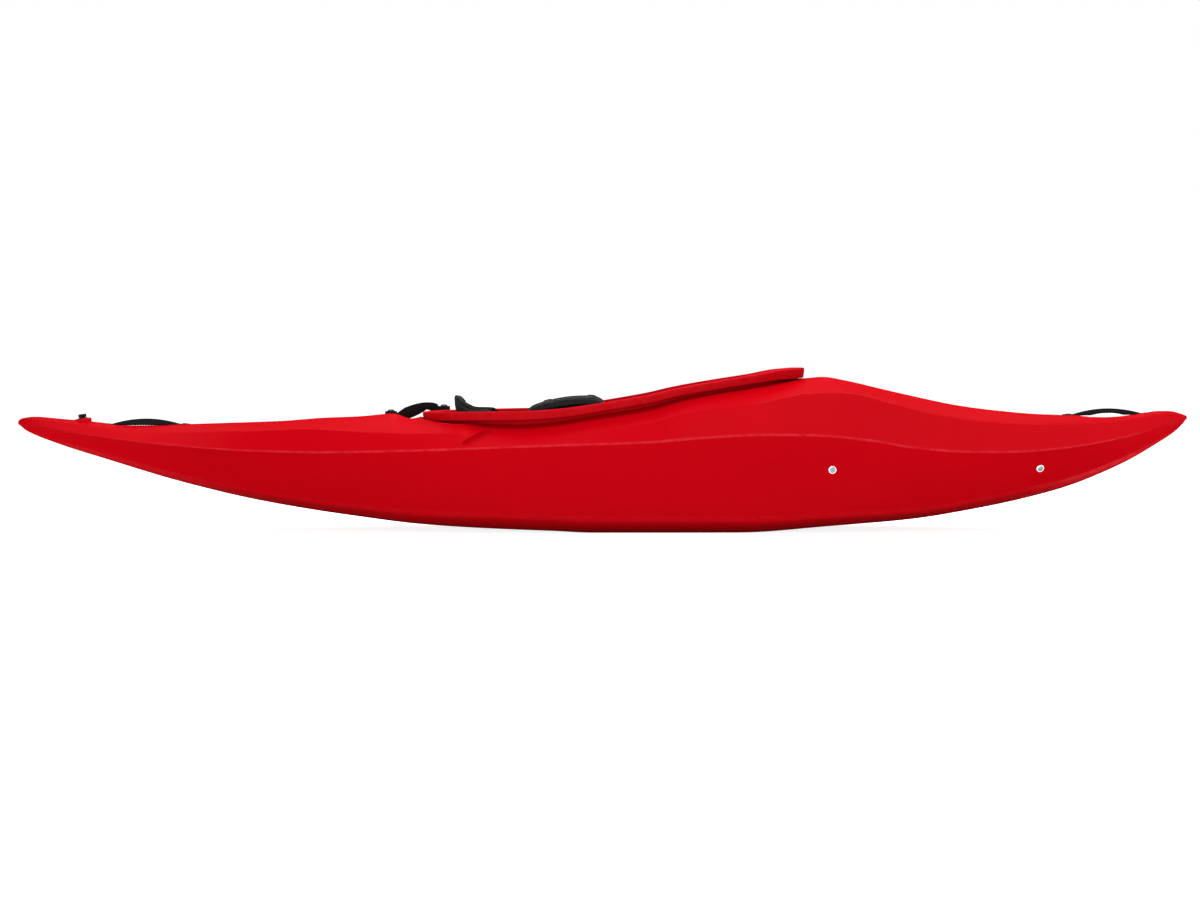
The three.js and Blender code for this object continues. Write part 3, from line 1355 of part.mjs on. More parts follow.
// The ratchet's body: a bridge over the strap with two cheeks for the lever's axle.
function ratchetBody() {
  const bridge = strapThickness + 2 * fitGap;
  const half = channelHalf + ratchetWall;
  const section = new THREE.Shape([
    [-half, 0], [-channelHalf, 0], [-channelHalf, bridge], [channelHalf, bridge], [channelHalf, 0], [half, 0],
    [half, ratchetHeight], [channelHalf, ratchetHeight], [channelHalf, bridge + ratchetFloor],
    [-channelHalf, bridge + ratchetFloor], [-channelHalf, ratchetHeight], [-half, ratchetHeight],
  ].map(([y, z]) => new THREE.Vector2(y, z)));
  const channel = new THREE.ExtrudeGeometry(section, { depth: ratchetLength, bevelEnabled: false })
    .rotateX(Math.PI / 2).rotateZ(Math.PI / 2).translate(strapRun - ratchetLength / 2, 0, 0);
  const bore = rod(axleRadius + holeGap, 4 * half).rotateX(Math.PI / 2).translate(leverAxleX, 2 * half, leverAxleZ);
  return skinOf(solid(channel).subtract(solid(bore))).applyMatrix4(strapFrame);
}

function ratchetLever() {
  const half = channelHalf - leverRun;
  const grip = new THREE.Shape();
  const top = leverAxleZ + axleRadius + leverThickness;
  grip.moveTo(leverAxleX, leverAxleZ + axleRadius + leverThickness / 2);
  grip.absarc(leverAxleX, leverAxleZ, axleRadius + leverThickness / 2, Math.PI / 2, Math.PI * 1.5);
  grip.lineTo(leverAxleX + axleRadius, leverAxleZ - axleRadius - leverThickness / 4);
  grip.lineTo(leverAxleX + 2 * axleRadius, leverAxleZ + axleRadius / 2);
  grip.lineTo(leverAxleX + leverLength - leverThickness, leverAxleZ + axleRadius / 2);
  grip.lineTo(leverAxleX + leverLength, top);
  grip.lineTo(leverAxleX + leverLength - leverThickness, top);
  grip.lineTo(leverAxleX + axleRadius * 2, leverAxleZ + axleRadius + leverThickness / 2);
  const lever = plateAcross(grip, 2 * half);
  const bore = rod(axleRadius + holeGap, 4 * half).rotateX(Math.PI / 2).translate(leverAxleX, 2 * half, leverAxleZ);
  return skinOf(solid(lever).subtract(solid(bore))).applyMatrix4(strapFrame);
}

function ratchetPin() {
  const length = 2 * (channelHalf + ratchetWall);
  return rod(axleRadius, length, 12).rotateX(Math.PI / 2).translate(leverAxleX, length / 2, leverAxleZ)
    .applyMatrix4(strapFrame);
}

for (const [sideName, side] of sides) {
  addPiece(`backband_strap_${sideName}`, onSide(ladderStrap(), side), black);
  addPiece(`ratchet_body_${sideName}`, onSide(ratchetBody(), side), black);
  addPiece(`ratchet_lever_${sideName}`, onSide(ratchetLever(), side), black);
  addPiece(`ratchet_pin_${sideName}`, onSide(ratchetPin(), side), steel);
  const inner = new THREE.Vector3(pivotX, side * (bandInner - fitGap), bandPivotHeight);
  const rivet = fastener(rivetRadius, rivetHeadHeight, rivetShankRadius, rivetLength);
  addPiece(`backband_rivet_${sideName}`, rivet, steel, placed(inner, new THREE.Vector3(0, -side, 0)));
}

// Thigh braces: hooks inside the rim, slotted so that they slide on their bolts.

const braceRear = rimRear + braceSetback;
const braceFoot = deckHeight * braceFootShare;
const braceBoltHeight = deckHeight * braceBoltShare;
const braceCrest = lineThrough(braceCrestShares);

// The rim riser's inner face at a place along the hull, as a distance from the middle.
function riserAt(x) {
  let [low, high] = [0, Math.PI];
  for (let i = 0; i < 40; i += 1) {
    const turn = (low + high) / 2;
    if (rimEdge(turn, lipReach + hullWall).x > x) low = turn;
    else high = turn;
  }
  return rimEdge(low, lipReach + hullWall).y;
}

const braceOuter = Math.min(riserAt(braceRear - braceTravel), riserAt(braceRear + braceLength + braceTravel))
  - braceGap;
const braceBolts = [-1, 1].map((end) => braceRear + braceLength / 2 + end * braceBoltSpacing / 2);

function braceLine(share) {
  const crest = deckHeight * braceCrest(share);
  const inner = braceOuter - braceWidth;
  return [[braceOuter, braceFoot], [braceOuter, crest - braceCorner], [braceOuter - braceCorner, crest],
    [(braceOuter + inner) / 2, crest], [inner, crest - braceLipDrop]];
}

function thighBrace() {
  const rings = braceStationShares.map((share) => {
    const outer = braceLine(share);
    const inner = outer.map(([y, z], i) => [i < 2 ? y - braceWall : y, i < 2 ? z : z - braceWall]);
    inner[1][1] -= braceWall / 2;
    return [...outer, ...inner.reverse()].map(([y, z]) => new THREE.Vector3(braceRear + share * braceLength, y, z));
  });
  let body = solid(loft(rings));
  for (const x of braceBolts) {
    const room = 2 * (boltShankRadius + holeGap);
    body = body.subtract(solid(box(2 * braceTravel + room, 4 * braceWall, room, x, braceOuter, braceBoltHeight)));
  }
  return skinOf(body);
}

function thighPad() {
  const across = lineThrough(bracePadAcrossShares);
  const along = lineThrough(bracePadAlongShares);
  const steps = 8;
  const rings = braceStationShares.map((share) => {
    const crest = deckHeight * braceCrest(share) + fitGap;
    const width = braceWidth - bracePadInset;
    const lip = (t) => braceLipDrop * Math.max(0, (t * width + bracePadInset / 2) / braceWidth * 2 - 1);
    const under = [];
    const over = [];
    for (let j = 0; j <= steps; j += 1) {
      const t = (1 - Math.cos(j / steps * Math.PI)) / 2;
      const y = braceOuter - bracePadInset / 2 - t * width;
      under.push([y, crest - lip(t)]);
      over.push([y, crest - lip(t) + bracePadThickness * across(t) * along(share)]);
    }
    return [...under, ...over.reverse()].map(([y, z]) => new THREE.Vector3(braceRear + share * braceLength, y, z));
  });
  return loft(rings);
}

const braceBosses = [];
for (const [sideName, side] of sides) {
  addPiece(`thigh_brace_${sideName}`, onSide(thighBrace(), side), black);
  addPiece(`thigh_pad_${sideName}`, onSide(thighPad(), side), charcoal);
  braceBolts.forEach((x, i) => {
    const head = new THREE.Vector3(x, side * (braceOuter - braceWall - fitGap), braceBoltHeight);
    const length = braceWall + 2 * fitGap + braceBoltGrip;
    const bolt = fastener(boltHeadRadius, boltHeadHeight, boltShankRadius, length);
    addPiece(`thigh_bolt_${sideName}_${['aft', 'fore'][i]}`, bolt, steel,
      placed(head, new THREE.Vector3(0, -side, 0)));
    const start = braceOuter + fitGap;
    const reach = riserAt(x) + braceBossOverlap - start;
    const hang = grooveAt(x) + braceBossRadius - braceBoltHeight;
    const boss = solid(rod(braceBossRadius, reach, 16).rotateX(-Math.PI / 2)
      .translate(x, start, braceBoltHeight))
      .add(solid(box(2 * braceBossRadius, reach, hang, x, start + reach / 2, braceBoltHeight + hang / 2)));
    const bore = rod(boltShankRadius + holeGap, braceBoltGrip + fitGap + cutOverrun).rotateX(-Math.PI / 2)
      .translate(x, start - cutOverrun, braceBoltHeight);
    braceBosses.push([onSide(skinOf(boss), side), onSide(bore, side)]);
  });
}

// The shell itself, with everything that cuts it

function hullShell() {
  let outer = solid(hullForm(0, stationShares)).add(solid(drainBoss));
  for (const cut of pressings(0)) outer = outer.subtract(cut);
  let shell = outer.subtract(hollow(0));
  const floor = deckHeight / 2;
  shell = shell.subtract(rimSpace(lipReach + hullWall / 2, () => floor)).add(coaming());
  const screwHole = rod(screwShankRadius + holeGap, screwLength + cutOverrun);
  const screwHoles = handleScrewPoints.map((place) => screwHole.clone()
    .translate(0, 0, -screwLength - cutOverrun).applyMatrix4(place));
  for (const hole of [drainBore, ...railHoles, ...barBoltHoles, ...screwHoles]) {
    shell = shell.subtract(solid(hole));
  }
  for (const [boss, bore] of braceBosses) shell = shell.add(solid(boss)).subtract(solid(bore));
  return shell;
}

addPiece('hull_shell', hullShell(), red);

export default kayak;
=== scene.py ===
import math
import bmesh
import bpy
import numpy as np
from mathutils import Matrix, Vector


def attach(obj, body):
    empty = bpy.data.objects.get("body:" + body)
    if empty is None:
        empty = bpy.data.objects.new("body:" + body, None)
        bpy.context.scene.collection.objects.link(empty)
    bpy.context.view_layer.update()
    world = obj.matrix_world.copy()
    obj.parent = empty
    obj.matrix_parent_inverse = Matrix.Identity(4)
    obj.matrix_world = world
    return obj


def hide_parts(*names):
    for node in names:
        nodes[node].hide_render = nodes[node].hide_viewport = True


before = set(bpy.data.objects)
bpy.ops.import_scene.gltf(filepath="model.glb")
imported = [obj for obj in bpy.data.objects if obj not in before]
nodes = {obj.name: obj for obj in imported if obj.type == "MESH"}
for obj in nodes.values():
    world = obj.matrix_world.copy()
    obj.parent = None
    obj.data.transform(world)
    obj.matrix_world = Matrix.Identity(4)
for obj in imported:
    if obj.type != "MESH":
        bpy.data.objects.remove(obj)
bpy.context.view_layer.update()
scene = bpy.context.scene

print("camera and studio")

# the photograph's view: square to the starboard side, ten metres off, just above the rim
studio = {
    "cameraPlace": (-0.0058, -10.0, 0.448),
    "cameraTarget": (-0.0058, 0.0, 0.184),
    "lens": 128.9,
    "sensorWidth": 36.0,
    "clipEnd": 100.0,
    "lampTarget": (0.0, 0.0, 0.2),
    "floorSize": 60.0,
    "worldLevel": 0.3,
    "softboxes": [   # name, power, size, place
        ("overheadLamp", 60.0, (5.0, 1.0), (0.2, -0.7, 3.0)),
        ("topLamp", 58.0, (5.0, 1.2), (0.2, 1.3, 2.9)),
        ("frontLamp", 56.0, (6.0, 1.4), (0.0, -4.8, 1.1)),
        ("backLamp", 135.0, (6.5, 1.6), (0.4, 4.2, 2.9)),
        ("sternLamp", 22.0, (2.5, 1.6), (-4.6, -3.6, 0.6)),
        ("bowLamp", 12.0, (2.5, 1.6), (4.6, -3.6, 0.6)),
    ],
    "floorShade": 0.95,
    "floorGlow": 0.87,
}


def newPiece(name, data):
    piece = bpy.data.objects.new(name, data)
    scene.collection.objects.link(piece)
    return piece


def newMesh(name, points, edges, faces):
    mesh = bpy.data.meshes.new(name)
    mesh.from_pydata(points, edges, faces)
    return mesh


def aim(piece, place, target):
    piece.location = place
    piece.rotation_euler = (Vector(target) - Vector(place)).to_track_quat("-Z", "Y").to_euler()


def studioCamera():
    lens = bpy.data.cameras.new("studioCamera")
    lens.sensor_width, lens.lens, lens.clip_end = studio["sensorWidth"], studio["lens"], studio["clipEnd"]
    scene.camera = newPiece("studioCamera", lens)
    aim(scene.camera, studio["cameraPlace"], studio["cameraTarget"])


def softbox(name, power, size, place):
    lamp = bpy.data.lights.new(name, "AREA")
    lamp.shape = "RECTANGLE"
    lamp.size, lamp.size_y = size
    lamp.energy = power
    aim(newPiece(name, lamp), place, studio["lampTarget"])


# gives each socket its value, or a link from another node's socket
def feed(tree, sockets, values):
    for name, value in values.items():
        if isinstance(value, bpy.types.NodeSocket):
            tree.links.new(value, sockets[name])
        else:
            sockets[name].default_value = value


def newNode(tree, kind, values=None, **settings):
    node = tree.nodes.new(kind)
    for name, value in settings.items():
        setattr(node, name, value)
    feed(tree, node.inputs, values or {})
    return node


def sumNode(tree, operation, *values):
    return newNode(tree, "ShaderNodeMath", dict(enumerate(values)), operation=operation).outputs[0]


def seenDirectly(tree):
    path = tree.nodes.new("ShaderNodeLightPath")
    total = path.outputs["Is Camera Ray"]
    for ray in ("Is Glossy Ray", "Is Transmission Ray"):
        total = sumNode(tree, "MAXIMUM", total, path.outputs[ray])
    return total


def studioWorld():
    world = bpy.data.worlds.new("studioWorld")
    world.use_nodes = True
    tree = world.node_tree
    tree.nodes.clear()
    level = newNode(tree, "ShaderNodeMapRange", {
        "Value": seenDirectly(tree), "To Min": studio["worldLevel"], "To Max": 1.0})
    glow = newNode(tree, "ShaderNodeBackground", {
        "Color": (1.0, 1.0, 1.0, 1.0), "Strength": level.outputs["Result"]})
    newNode(tree, "ShaderNodeOutputWorld", {"Surface": glow.outputs[0]})
    scene.world = world


def studioFloor():
    half = studio["floorSize"] / 2
    corners = [(-half, -half, 0), (half, -half, 0), (half, half, 0), (-half, half, 0)]
    floor = newPiece("floor", newMesh("floor", corners, [], [(0, 1, 2, 3)]))
    paper = bpy.data.materials.new("floorPaper")
    paper.use_nodes = True
    tree = paper.node_tree
    tree.nodes.clear()
    shade = newNode(tree, "ShaderNodeBsdfDiffuse", {"Color": (studio["floorShade"],) * 3 + (1.0,)})
    level = sumNode(tree, "MULTIPLY", seenDirectly(tree), studio["floorGlow"])
    glow = newNode(tree, "ShaderNodeEmission", {"Strength": level})
    both = newNode(tree, "ShaderNodeAddShader", {0: shade.outputs[0], 1: glow.outputs[0]})
    newNode(tree, "ShaderNodeOutputMaterial", {"Surface": both.outputs[0]})
    floor.data.materials.append(paper)


studioCamera()
for row in studio["softboxes"]:
    softbox(*row)
studioWorld()
studioFloor()
scene.view_settings.view_transform = "Standard"

print("materials")


def newMaterial(name):
    material = bpy.data.materials.new(name)
    material.use_nodes = True
    tree = material.node_tree
    place = tree.nodes.new("ShaderNodeTexCoord").outputs["Object"]
    return material, tree, tree.nodes["Principled BSDF"], place


def colour(red, green, blue):
    def linear(channel):
        share = channel / 255
        return share / 12.92 if share <= 0.04045 else ((share + 0.055) / 1.055) ** 2.4
    return (linear(red), linear(green), linear(blue), 1.0)


# a new group: its inputs with their values, and the names of its outputs
def groupStart(name, inputs, outputs):
    group = bpy.data.node_groups.new(name, "ShaderNodeTree")
    kinds = {"Place": "NodeSocketVector", "Shade": "NodeSocketColor", "Colour": "NodeSocketColor"}
    for side, labels in (("INPUT", ["Place", *inputs]), ("OUTPUT", outputs)):
        for label in labels:
            socket = group.interface.new_socket(name=label, in_out=side,
                                                socket_type=kinds.get(label, "NodeSocketFloat"))
            if inputs.get(label) is not None and side == "INPUT":
                socket.default_value = inputs[label]
    return group, group.nodes.new("NodeGroupInput").outputs, group.nodes.new("NodeGroupOutput").inputs


def noiseNode(tree, place, scale, detail=2.0):
    values = {"Vector": place, "Scale": scale, "Detail": detail}
    return newNode(tree, "ShaderNodeTexNoise", values).outputs["Fac"]


# a noise that runs both ways from nought
def slowNoise(tree, place, scale, detail=3.0):
    return sumNode(tree, "SUBTRACT", noiseNode(tree, place, scale, detail), 0.5)


def shaded(tree, shade, value):
    return newNode(tree, "ShaderNodeHueSaturation", {"Color": shade, "Value": value}).outputs["Color"]


# moulded plastic: faint orange peel, slow waves in the wall and a drift in its shade
def mouldedPlasticGroup():
    group, way, out = groupStart("mouldedPlastic", {
        "Shade": None, "Drift": 0.04, "Grain Size": 900.0, "Roughness": 0.4, "Roughness Spread": 0.08},
        ["Colour", "Roughness", "Height"])
    slow = sumNode(group, "MULTIPLY", slowNoise(group, way["Place"], 5.0), 5.0)
    fine = noiseNode(group, way["Place"], way["Grain Size"])
    spread = sumNode(group, "SUBTRACT", fine, 0.5)
    feed(group, out, {
        "Colour": shaded(group, way["Shade"], sumNode(group, "MULTIPLY_ADD", slow, way["Drift"], 1.0)),
        "Height": fine,
        "Roughness": sumNode(group, "MULTIPLY_ADD", spread, way["Roughness Spread"], way["Roughness"])})
    return group


# wear, and on the hull a painted highlight: edges made paler, broken up by a noise
def edgeWearAndSheenGroup():
    group, way, out = groupStart("edgeWearAndSheen", {"Edge": 0.0, "Amount": 0.3, "Break Size": 60.0}, ["Mask"])
    patches = noiseNode(group, way["Place"], way["Break Size"], 4.0)
    broken = sumNode(group, "MULTIPLY_ADD", patches, 1.4, -0.2)
    mask = sumNode(group, "MULTIPLY", way["Edge"], sumNode(group, "MULTIPLY", broken, way["Amount"]))
    feed(group, out, {"Mask": sumNode(group, "MINIMUM", sumNode(group, "MAXIMUM", mask, 0.0), 1.0)})
    return group


# a stretch weave: rows of threads that cross, from sines along the three axes
def weaveGroup():
    group, way, out = groupStart("stretchWeave", {
        "Shade": None, "Thread": 0.0016, "Contrast": 0.25, "Drift": 0.1}, ["Colour", "Height"])
    parts = newNode(group, "ShaderNodeSeparateXYZ", {0: way["Place"]}).outputs
    turn = sumNode(group, "DIVIDE", 2 * math.pi, way["Thread"])
    waves = [sumNode(group, "SINE", sumNode(group, "MULTIPLY", parts[axis], turn)) for axis in "XYZ"]
    pairs = [sumNode(group, "MULTIPLY", waves[i], waves[(i + 1) % 3]) for i in range(3)]
    height = sumNode(group, "ADD", sumNode(group, "ADD", pairs[0], pairs[1]), pairs[2])
    value = sumNode(group, "MULTIPLY_ADD", height, sumNode(group, "MULTIPLY", way["Contrast"], 0.5), 1.0)
    slow = slowNoise(group, way["Place"], 25.0)
    value = sumNode(group, "MULTIPLY_ADD", slow, sumNode(group, "MULTIPLY", way["Drift"], 4.0), value)
    feed(group, out, {"Colour": shaded(group, way["Shade"], value), "Height": height})
    return group


# closed-cell foam: small pits and cut lines
def foamGroup():
    group, way, out = groupStart("closedCellFoam", {
        "Shade": None, "Cell Size": 700.0, "Drift": 0.1}, ["Colour", "Height"])
    cells = newNode(group, "ShaderNodeTexVoronoi", {
        "Vector": way["Place"], "Scale": way["Cell Size"]}).outputs["Distance"]
    slow = slowNoise(group, way["Place"], 18.0, 4.0)
    value = sumNode(group, "MULTIPLY_ADD", slow, sumNode(group, "MULTIPLY", way["Drift"], 4.0), 0.85)
    value = sumNode(group, "MULTIPLY_ADD", cells, 0.3, value)
    feed(group, out, {"Colour": shaded(group, way["Shade"], value), "Height": cells})
    return group


# turned and brushed steel: fine lines round each head, from a noise pulled out along Y
def brushedGroup():
    group, way, out = groupStart("brushedSteel", {
        "Shade": None, "Roughness": 0.25, "Line Size": 2500.0}, ["Colour", "Roughness", "Height"])
    pull = newNode(group, "ShaderNodeMapping", {"Vector": way["Place"], "Scale": (1.0, 0.08, 1.0)})
    lines = noiseNode(group, pull.outputs[0], way["Line Size"], 3.0)
    offset = sumNode(group, "SUBTRACT", lines, 0.5)
    feed(group, out, {
        "Colour": shaded(group, way["Shade"], sumNode(group, "MULTIPLY_ADD", offset, 0.3, 1.0)),
        "Roughness": sumNode(group, "MULTIPLY_ADD", offset, 0.25, way["Roughness"]),
        "Height": lines})
    return group


plasticGroup, wearAndSheenGroup = mouldedPlasticGroup(), edgeWearAndSheenGroup()
clothGroup, cellGroup, steelGroup = weaveGroup(), foamGroup(), brushedGroup()


def effectNode(tree, group, place, values):
    return newNode(tree, "ShaderNodeGroup", {"Place": place, **values}, node_tree=group).outputs


def relief(tree, shader, height, strength, distance):
    bump = newNode(tree, "ShaderNodeBump", {"Height": height, "Strength": strength, "Distance": distance})
    feed(tree, shader.inputs, {"Normal": bump.outputs["Normal"]})


# the effect's colour, rubbed towards a paler one on the piece's edges; on the hull this paler edge is also a painted
# highlight
def wornAndSheened(tree, shader, colourOut, place, paler, amount, breakSize=60.0):
    edge = newNode(tree, "ShaderNodeAttribute", attribute_name="edge")
    wearAndSheen = effectNode(tree, wearAndSheenGroup, place, {
        "Edge": edge.outputs["Fac"], "Amount": amount, "Break Size": breakSize})
    blend = newNode(tree, "ShaderNodeMix", {"Factor": wearAndSheen["Mask"], "A": colourOut, "B": paler}, data_type="RGBA")
    feed(tree, shader.inputs, {"Base Color": blend.outputs["Result"]})


def mouldedPlastic(name, shade, roughness, grainSize=900.0, drift=0.03, bump=0.05, shine=0.12, spread=0.08,
                   glaze=0.0, paler=(92, 94, 97), wearAndSheen=0.15):
    material, tree, shader, place = newMaterial(name)
    effect = effectNode(tree, plasticGroup, place, {
        "Shade": colour(*shade), "Drift": drift, "Grain Size": grainSize, "Roughness": roughness,
        "Roughness Spread": spread})
    wornAndSheened(tree, shader, effect["Colour"], place, colour(*paler), wearAndSheen)
    relief(tree, shader, effect["Height"], bump, 0.0005)
    feed(tree, shader.inputs, {"Roughness": effect["Roughness"], "Specular IOR Level": shine,
                               "Coat Weight": glaze, "Coat Roughness": 0.3, "Coat IOR": 2.0})
    return material


def wovenCloth(name, shade, thread, contrast):
    material, tree, shader, place = newMaterial(name)
    effect = effectNode(tree, clothGroup, place, {
        "Shade": colour(*shade), "Thread": thread, "Contrast": contrast})
    relief(tree, shader, effect["Height"], 0.5, 0.0004)
    feed(tree, shader.inputs, {"Base Color": effect["Colour"], "Roughness": 0.85, "Specular IOR Level": 0.06,
                               "Sheen Weight": 0.03, "Sheen Roughness": 0.4})
    return material


def cellFoam(name, shade, cellSize, bump=0.5):
    material, tree, shader, place = newMaterial(name)
    effect = effectNode(tree, cellGroup, place, {"Shade": colour(*shade), "Cell Size": cellSize})
    paler = colour(*(min(255, channel + 34) for channel in shade))
    wornAndSheened(tree, shader, effect["Colour"], place, paler, 0.35, 90.0)
    relief(tree, shader, effect["Height"], bump, 0.0006)
    feed(tree, shader.inputs, {"Roughness": 0.92, "Specular IOR Level": 0.3})
    return material


def turnedSteel(name, shade, roughness):
    material, tree, shader, place = newMaterial(name)
    effect = effectNode(tree, steelGroup, place, {"Shade": colour(*shade), "Roughness": roughness})
    wornAndSheened(tree, shader, effect["Colour"], place, colour(240, 241, 243), 0.5, 300.0)
    relief(tree, shader, effect["Height"], 0.15, 0.0002)
    feed(tree, shader.inputs, {"Roughness": effect["Roughness"], "Metallic": 1.0})
    return material


# the hull's red; its paler pink edges (238, 66, 78) are partly wear and partly a painted highlight along the gunwale,
# the creases and the crest
hullRed = mouldedPlastic("hullRed", (197, 1, 16), 0.4, 700.0, 0.02, 0.06, 0.0, 0.08, 0.012, (238, 66, 78), 0.6)
fittingBlack = mouldedPlastic("fittingBlack", (17, 18, 19), 0.45, 1600.0, 0.05, 0.2, 0.08)
railBlack = mouldedPlastic("railBlack", (19, 20, 21), 0.5, 1400.0, 0.05, 0.2)
strapBlack = mouldedPlastic("strapBlack", (22, 23, 24), 0.4, 2600.0, 0.04, 0.15)
seatBlack = mouldedPlastic("seatBlack", (24, 25, 26), 0.5, 1200.0, 0.05, 0.25)
barBlack = mouldedPlastic("barBlack", (9, 9, 10), 0.42, 2200.0, 0.04, 0.12, 0.06)
rubberBlack = mouldedPlastic("rubberBlack", (18, 18, 18), 0.75, 2000.0, 0.05, 0.2)
padCharcoal = wovenCloth("padCharcoal", (31, 31, 32), 0.0018, 0.35)
seatCloth = wovenCloth("seatCloth", (20, 20, 21), 0.0022, 0.45)
bindingBlack = wovenCloth("bindingBlack", (19, 19, 20), 0.0011, 0.2)
threadGrey = wovenCloth("threadGrey", (88, 89, 91), 0.0006, 0.3)
foamGrey = cellFoam("foamGrey", (58, 60, 64), 900.0)
pillarGrey = cellFoam("pillarGrey", (86, 90, 95), 600.0, 0.7)
steelBright = turnedSteel("steelBright", (134, 137, 141), 0.3)
# near-white steel for the cup washers, brighter than the bolts' steel: a painted highlight for the gleam on their
# domes
washerSteelPaintedGleam = turnedSteel("washerSteelPaintedGleam", (240, 242, 244), 0.22)
steelDark = turnedSteel("steelDark", (62, 63, 66), 0.4)

print("hull")

# the hull's lines, as the solid part has them: shares of the length from the stern,
# heights as shares of the deck's height, breadths as shares of half the beam or of the gunwale
hull = {
    "length": 2.72,
    "beam": 0.645,
    "deckHeight": 0.358,
    "wall": 0.005,
    "chineRise": 0.032,
    "keelVee": 0.012,
    "pulls": ((0.5, 0.5), (0.5, 0.5), (0.3, 0.72), (0.5, 0.5), (0.46, 0.66)),  # how each panel's curve is drawn out
    "panelSteps": (8, 5, 18, 11, 26),   # bottom, chine, side, side deck, top deck
    "panelParts": 32,
    "cornerRadii": (0.06, 0.03, 0.012, 0.004, 0.005, 0.05),  # keel, bilge, chine, gunwale, crease, crest
    "cornerSteps": (3, 4, 5, 7, 6, 4),
    "cornerRoom": 0.46,
    "lineSoftness": 0.0035,       # how far each line is averaged along the hull
    "lineEnds": 0.03,
    "stations": 250,
    "stationGrid": 4001,
    "crowding": ((0, 0.02, 6), (1, 0.02, 6), (0.1095, 0.03, 0.7), (0.9316, 0.03, 0.7), (0.33, 0.03, 0.8),
                 (0.69, 0.03, 0.4)),    # where the stations stand closer together: place, width, how much
    "tipLength": 0.003,
    "tipRings": 4,
    "tipTurn": 0.45,
    "formTrim": 10,               # rows left out at each end of a form that is moved in
    "formStep": 2,
}
hullPoints = {
    "keelHeights": [
        (0, 0.675), (0.002, 0.664), (0.005, 0.643), (0.036, 0.544), (0.07, 0.461), (0.139, 0.301),
        (0.207, 0.179), (0.275, 0.096), (0.344, 0.039), (0.41, 0.018), (0.46, 0.009), (0.49, 0), (0.615, 0),
        (0.686, 0.027), (0.754, 0.056), (0.823, 0.133), (0.891, 0.253), (0.943, 0.411), (0.977, 0.56),
        (0.991, 0.634), (0.997, 0.68), (1, 0.71)],
    "gunwaleHeights": [
        (0, 0.69), (0.034, 0.65), (0.107, 0.577), (0.15, 0.548), (0.203, 0.524), (0.258, 0.516),
        (0.323, 0.527), (0.447, 0.563), (0.541, 0.588), (0.58, 0.613), (0.637, 0.633), (0.67, 0.63),
        (0.695, 0.62), (0.727, 0.592), (0.76, 0.549), (0.808, 0.519), (0.845, 0.516), (0.884, 0.535),
        (0.941, 0.602), (0.979, 0.676), (1, 0.72)],
    "creaseHeights": [
        (0, 0.7), (0.01, 0.715), (0.036, 0.695), (0.07, 0.662), (0.111, 0.627), (0.186, 0.645),
        (0.259, 0.666), (0.284, 0.655), (0.333, 0.638), (0.384, 0.638), (0.4, 0.62), (0.431, 0.62),
        (0.497, 0.661), (0.541, 0.705), (0.568, 0.762), (0.629, 0.826), (0.672, 0.892), (0.695, 0.9),
        (0.715, 0.888), (0.741, 0.834), (0.788, 0.746), (0.836, 0.698), (0.884, 0.678), (0.912, 0.68),
        (0.95, 0.713), (0.977, 0.745), (0.996, 0.735), (1, 0.728)],
    "crestHeights": [
        (0, 0.712), (0.002, 0.724), (0.014, 0.735), (0.036, 0.722), (0.07, 0.701), (0.087, 0.683),
        (0.139, 0.693), (0.224, 0.709), (0.258, 0.729), (0.293, 0.742), (0.322, 0.762), (0.335, 0.722),
        (0.345, 0.742), (0.382, 0.83), (0.431, 0.894), (0.515, 0.983), (0.596, 1.02), (0.66, 0.99),
        (0.672, 0.988), (0.689, 1), (0.703, 0.982), (0.737, 0.924), (0.772, 0.865), (0.806, 0.813),
        (0.84, 0.781), (0.874, 0.761), (0.94, 0.752), (0.958, 0.757), (0.977, 0.774), (0.986, 0.774),
        (0.996, 0.755), (1, 0.742)],
    "gunwaleBreadths": [
        (0, 0.05), (0.004, 0.1), (0.012, 0.15), (0.025, 0.2), (0.045, 0.26), (0.1, 0.4), (0.2, 0.63),
        (0.3, 0.83), (0.4, 0.955), (0.5, 1), (0.55, 1), (0.65, 0.945), (0.75, 0.83), (0.85, 0.63),
        (0.93, 0.41), (0.965, 0.28), (0.99, 0.155), (0.997, 0.105), (1, 0.06)],
    "bottomBreadths": [
        (0, 0.3), (0.1, 0.3), (0.2, 0.42), (0.35, 0.6), (0.5, 0.68), (0.62, 0.68), (0.75, 0.58),
        (0.88, 0.42), (1, 0.3)],
    "chineBreadths": [
        (0, 0.5), (0.1, 0.54), (0.2, 0.66), (0.35, 0.83), (0.5, 0.9), (0.62, 0.9), (0.75, 0.84),
        (0.88, 0.68), (1, 0.5)],
    "creaseBreadths": [
        (0, 0.55), (0.11, 0.62), (0.26, 0.78), (0.33, 0.82), (0.4, 0.84), (0.5, 0.86), (0.57, 0.83),
        (0.63, 0.78), (0.69, 0.7), (0.74, 0.68), (0.79, 0.68), (0.88, 0.64), (0.95, 0.56), (1, 0.5)],
    "chineRises": [
        (0, 0.02), (0.08, 0.06), (0.17, 0.2), (0.23, 0.4), (0.28, 0.56), (0.33, 0.75), (0.45, 1),
        (0.58, 1), (0.7, 0.75), (0.79, 0.5), (0.85, 0.4), (0.9, 0.2), (0.95, 0.06), (1, 0.02)],
    "keelVees": [
        (0, 0.1), (0.03, 0.5), (0.2, 1), (0.4, 0.2), (0.49, 0), (0.615, 0), (0.75, 0.6), (0.9, 1),
        (0.98, 0.6), (1, 0.1)],
}


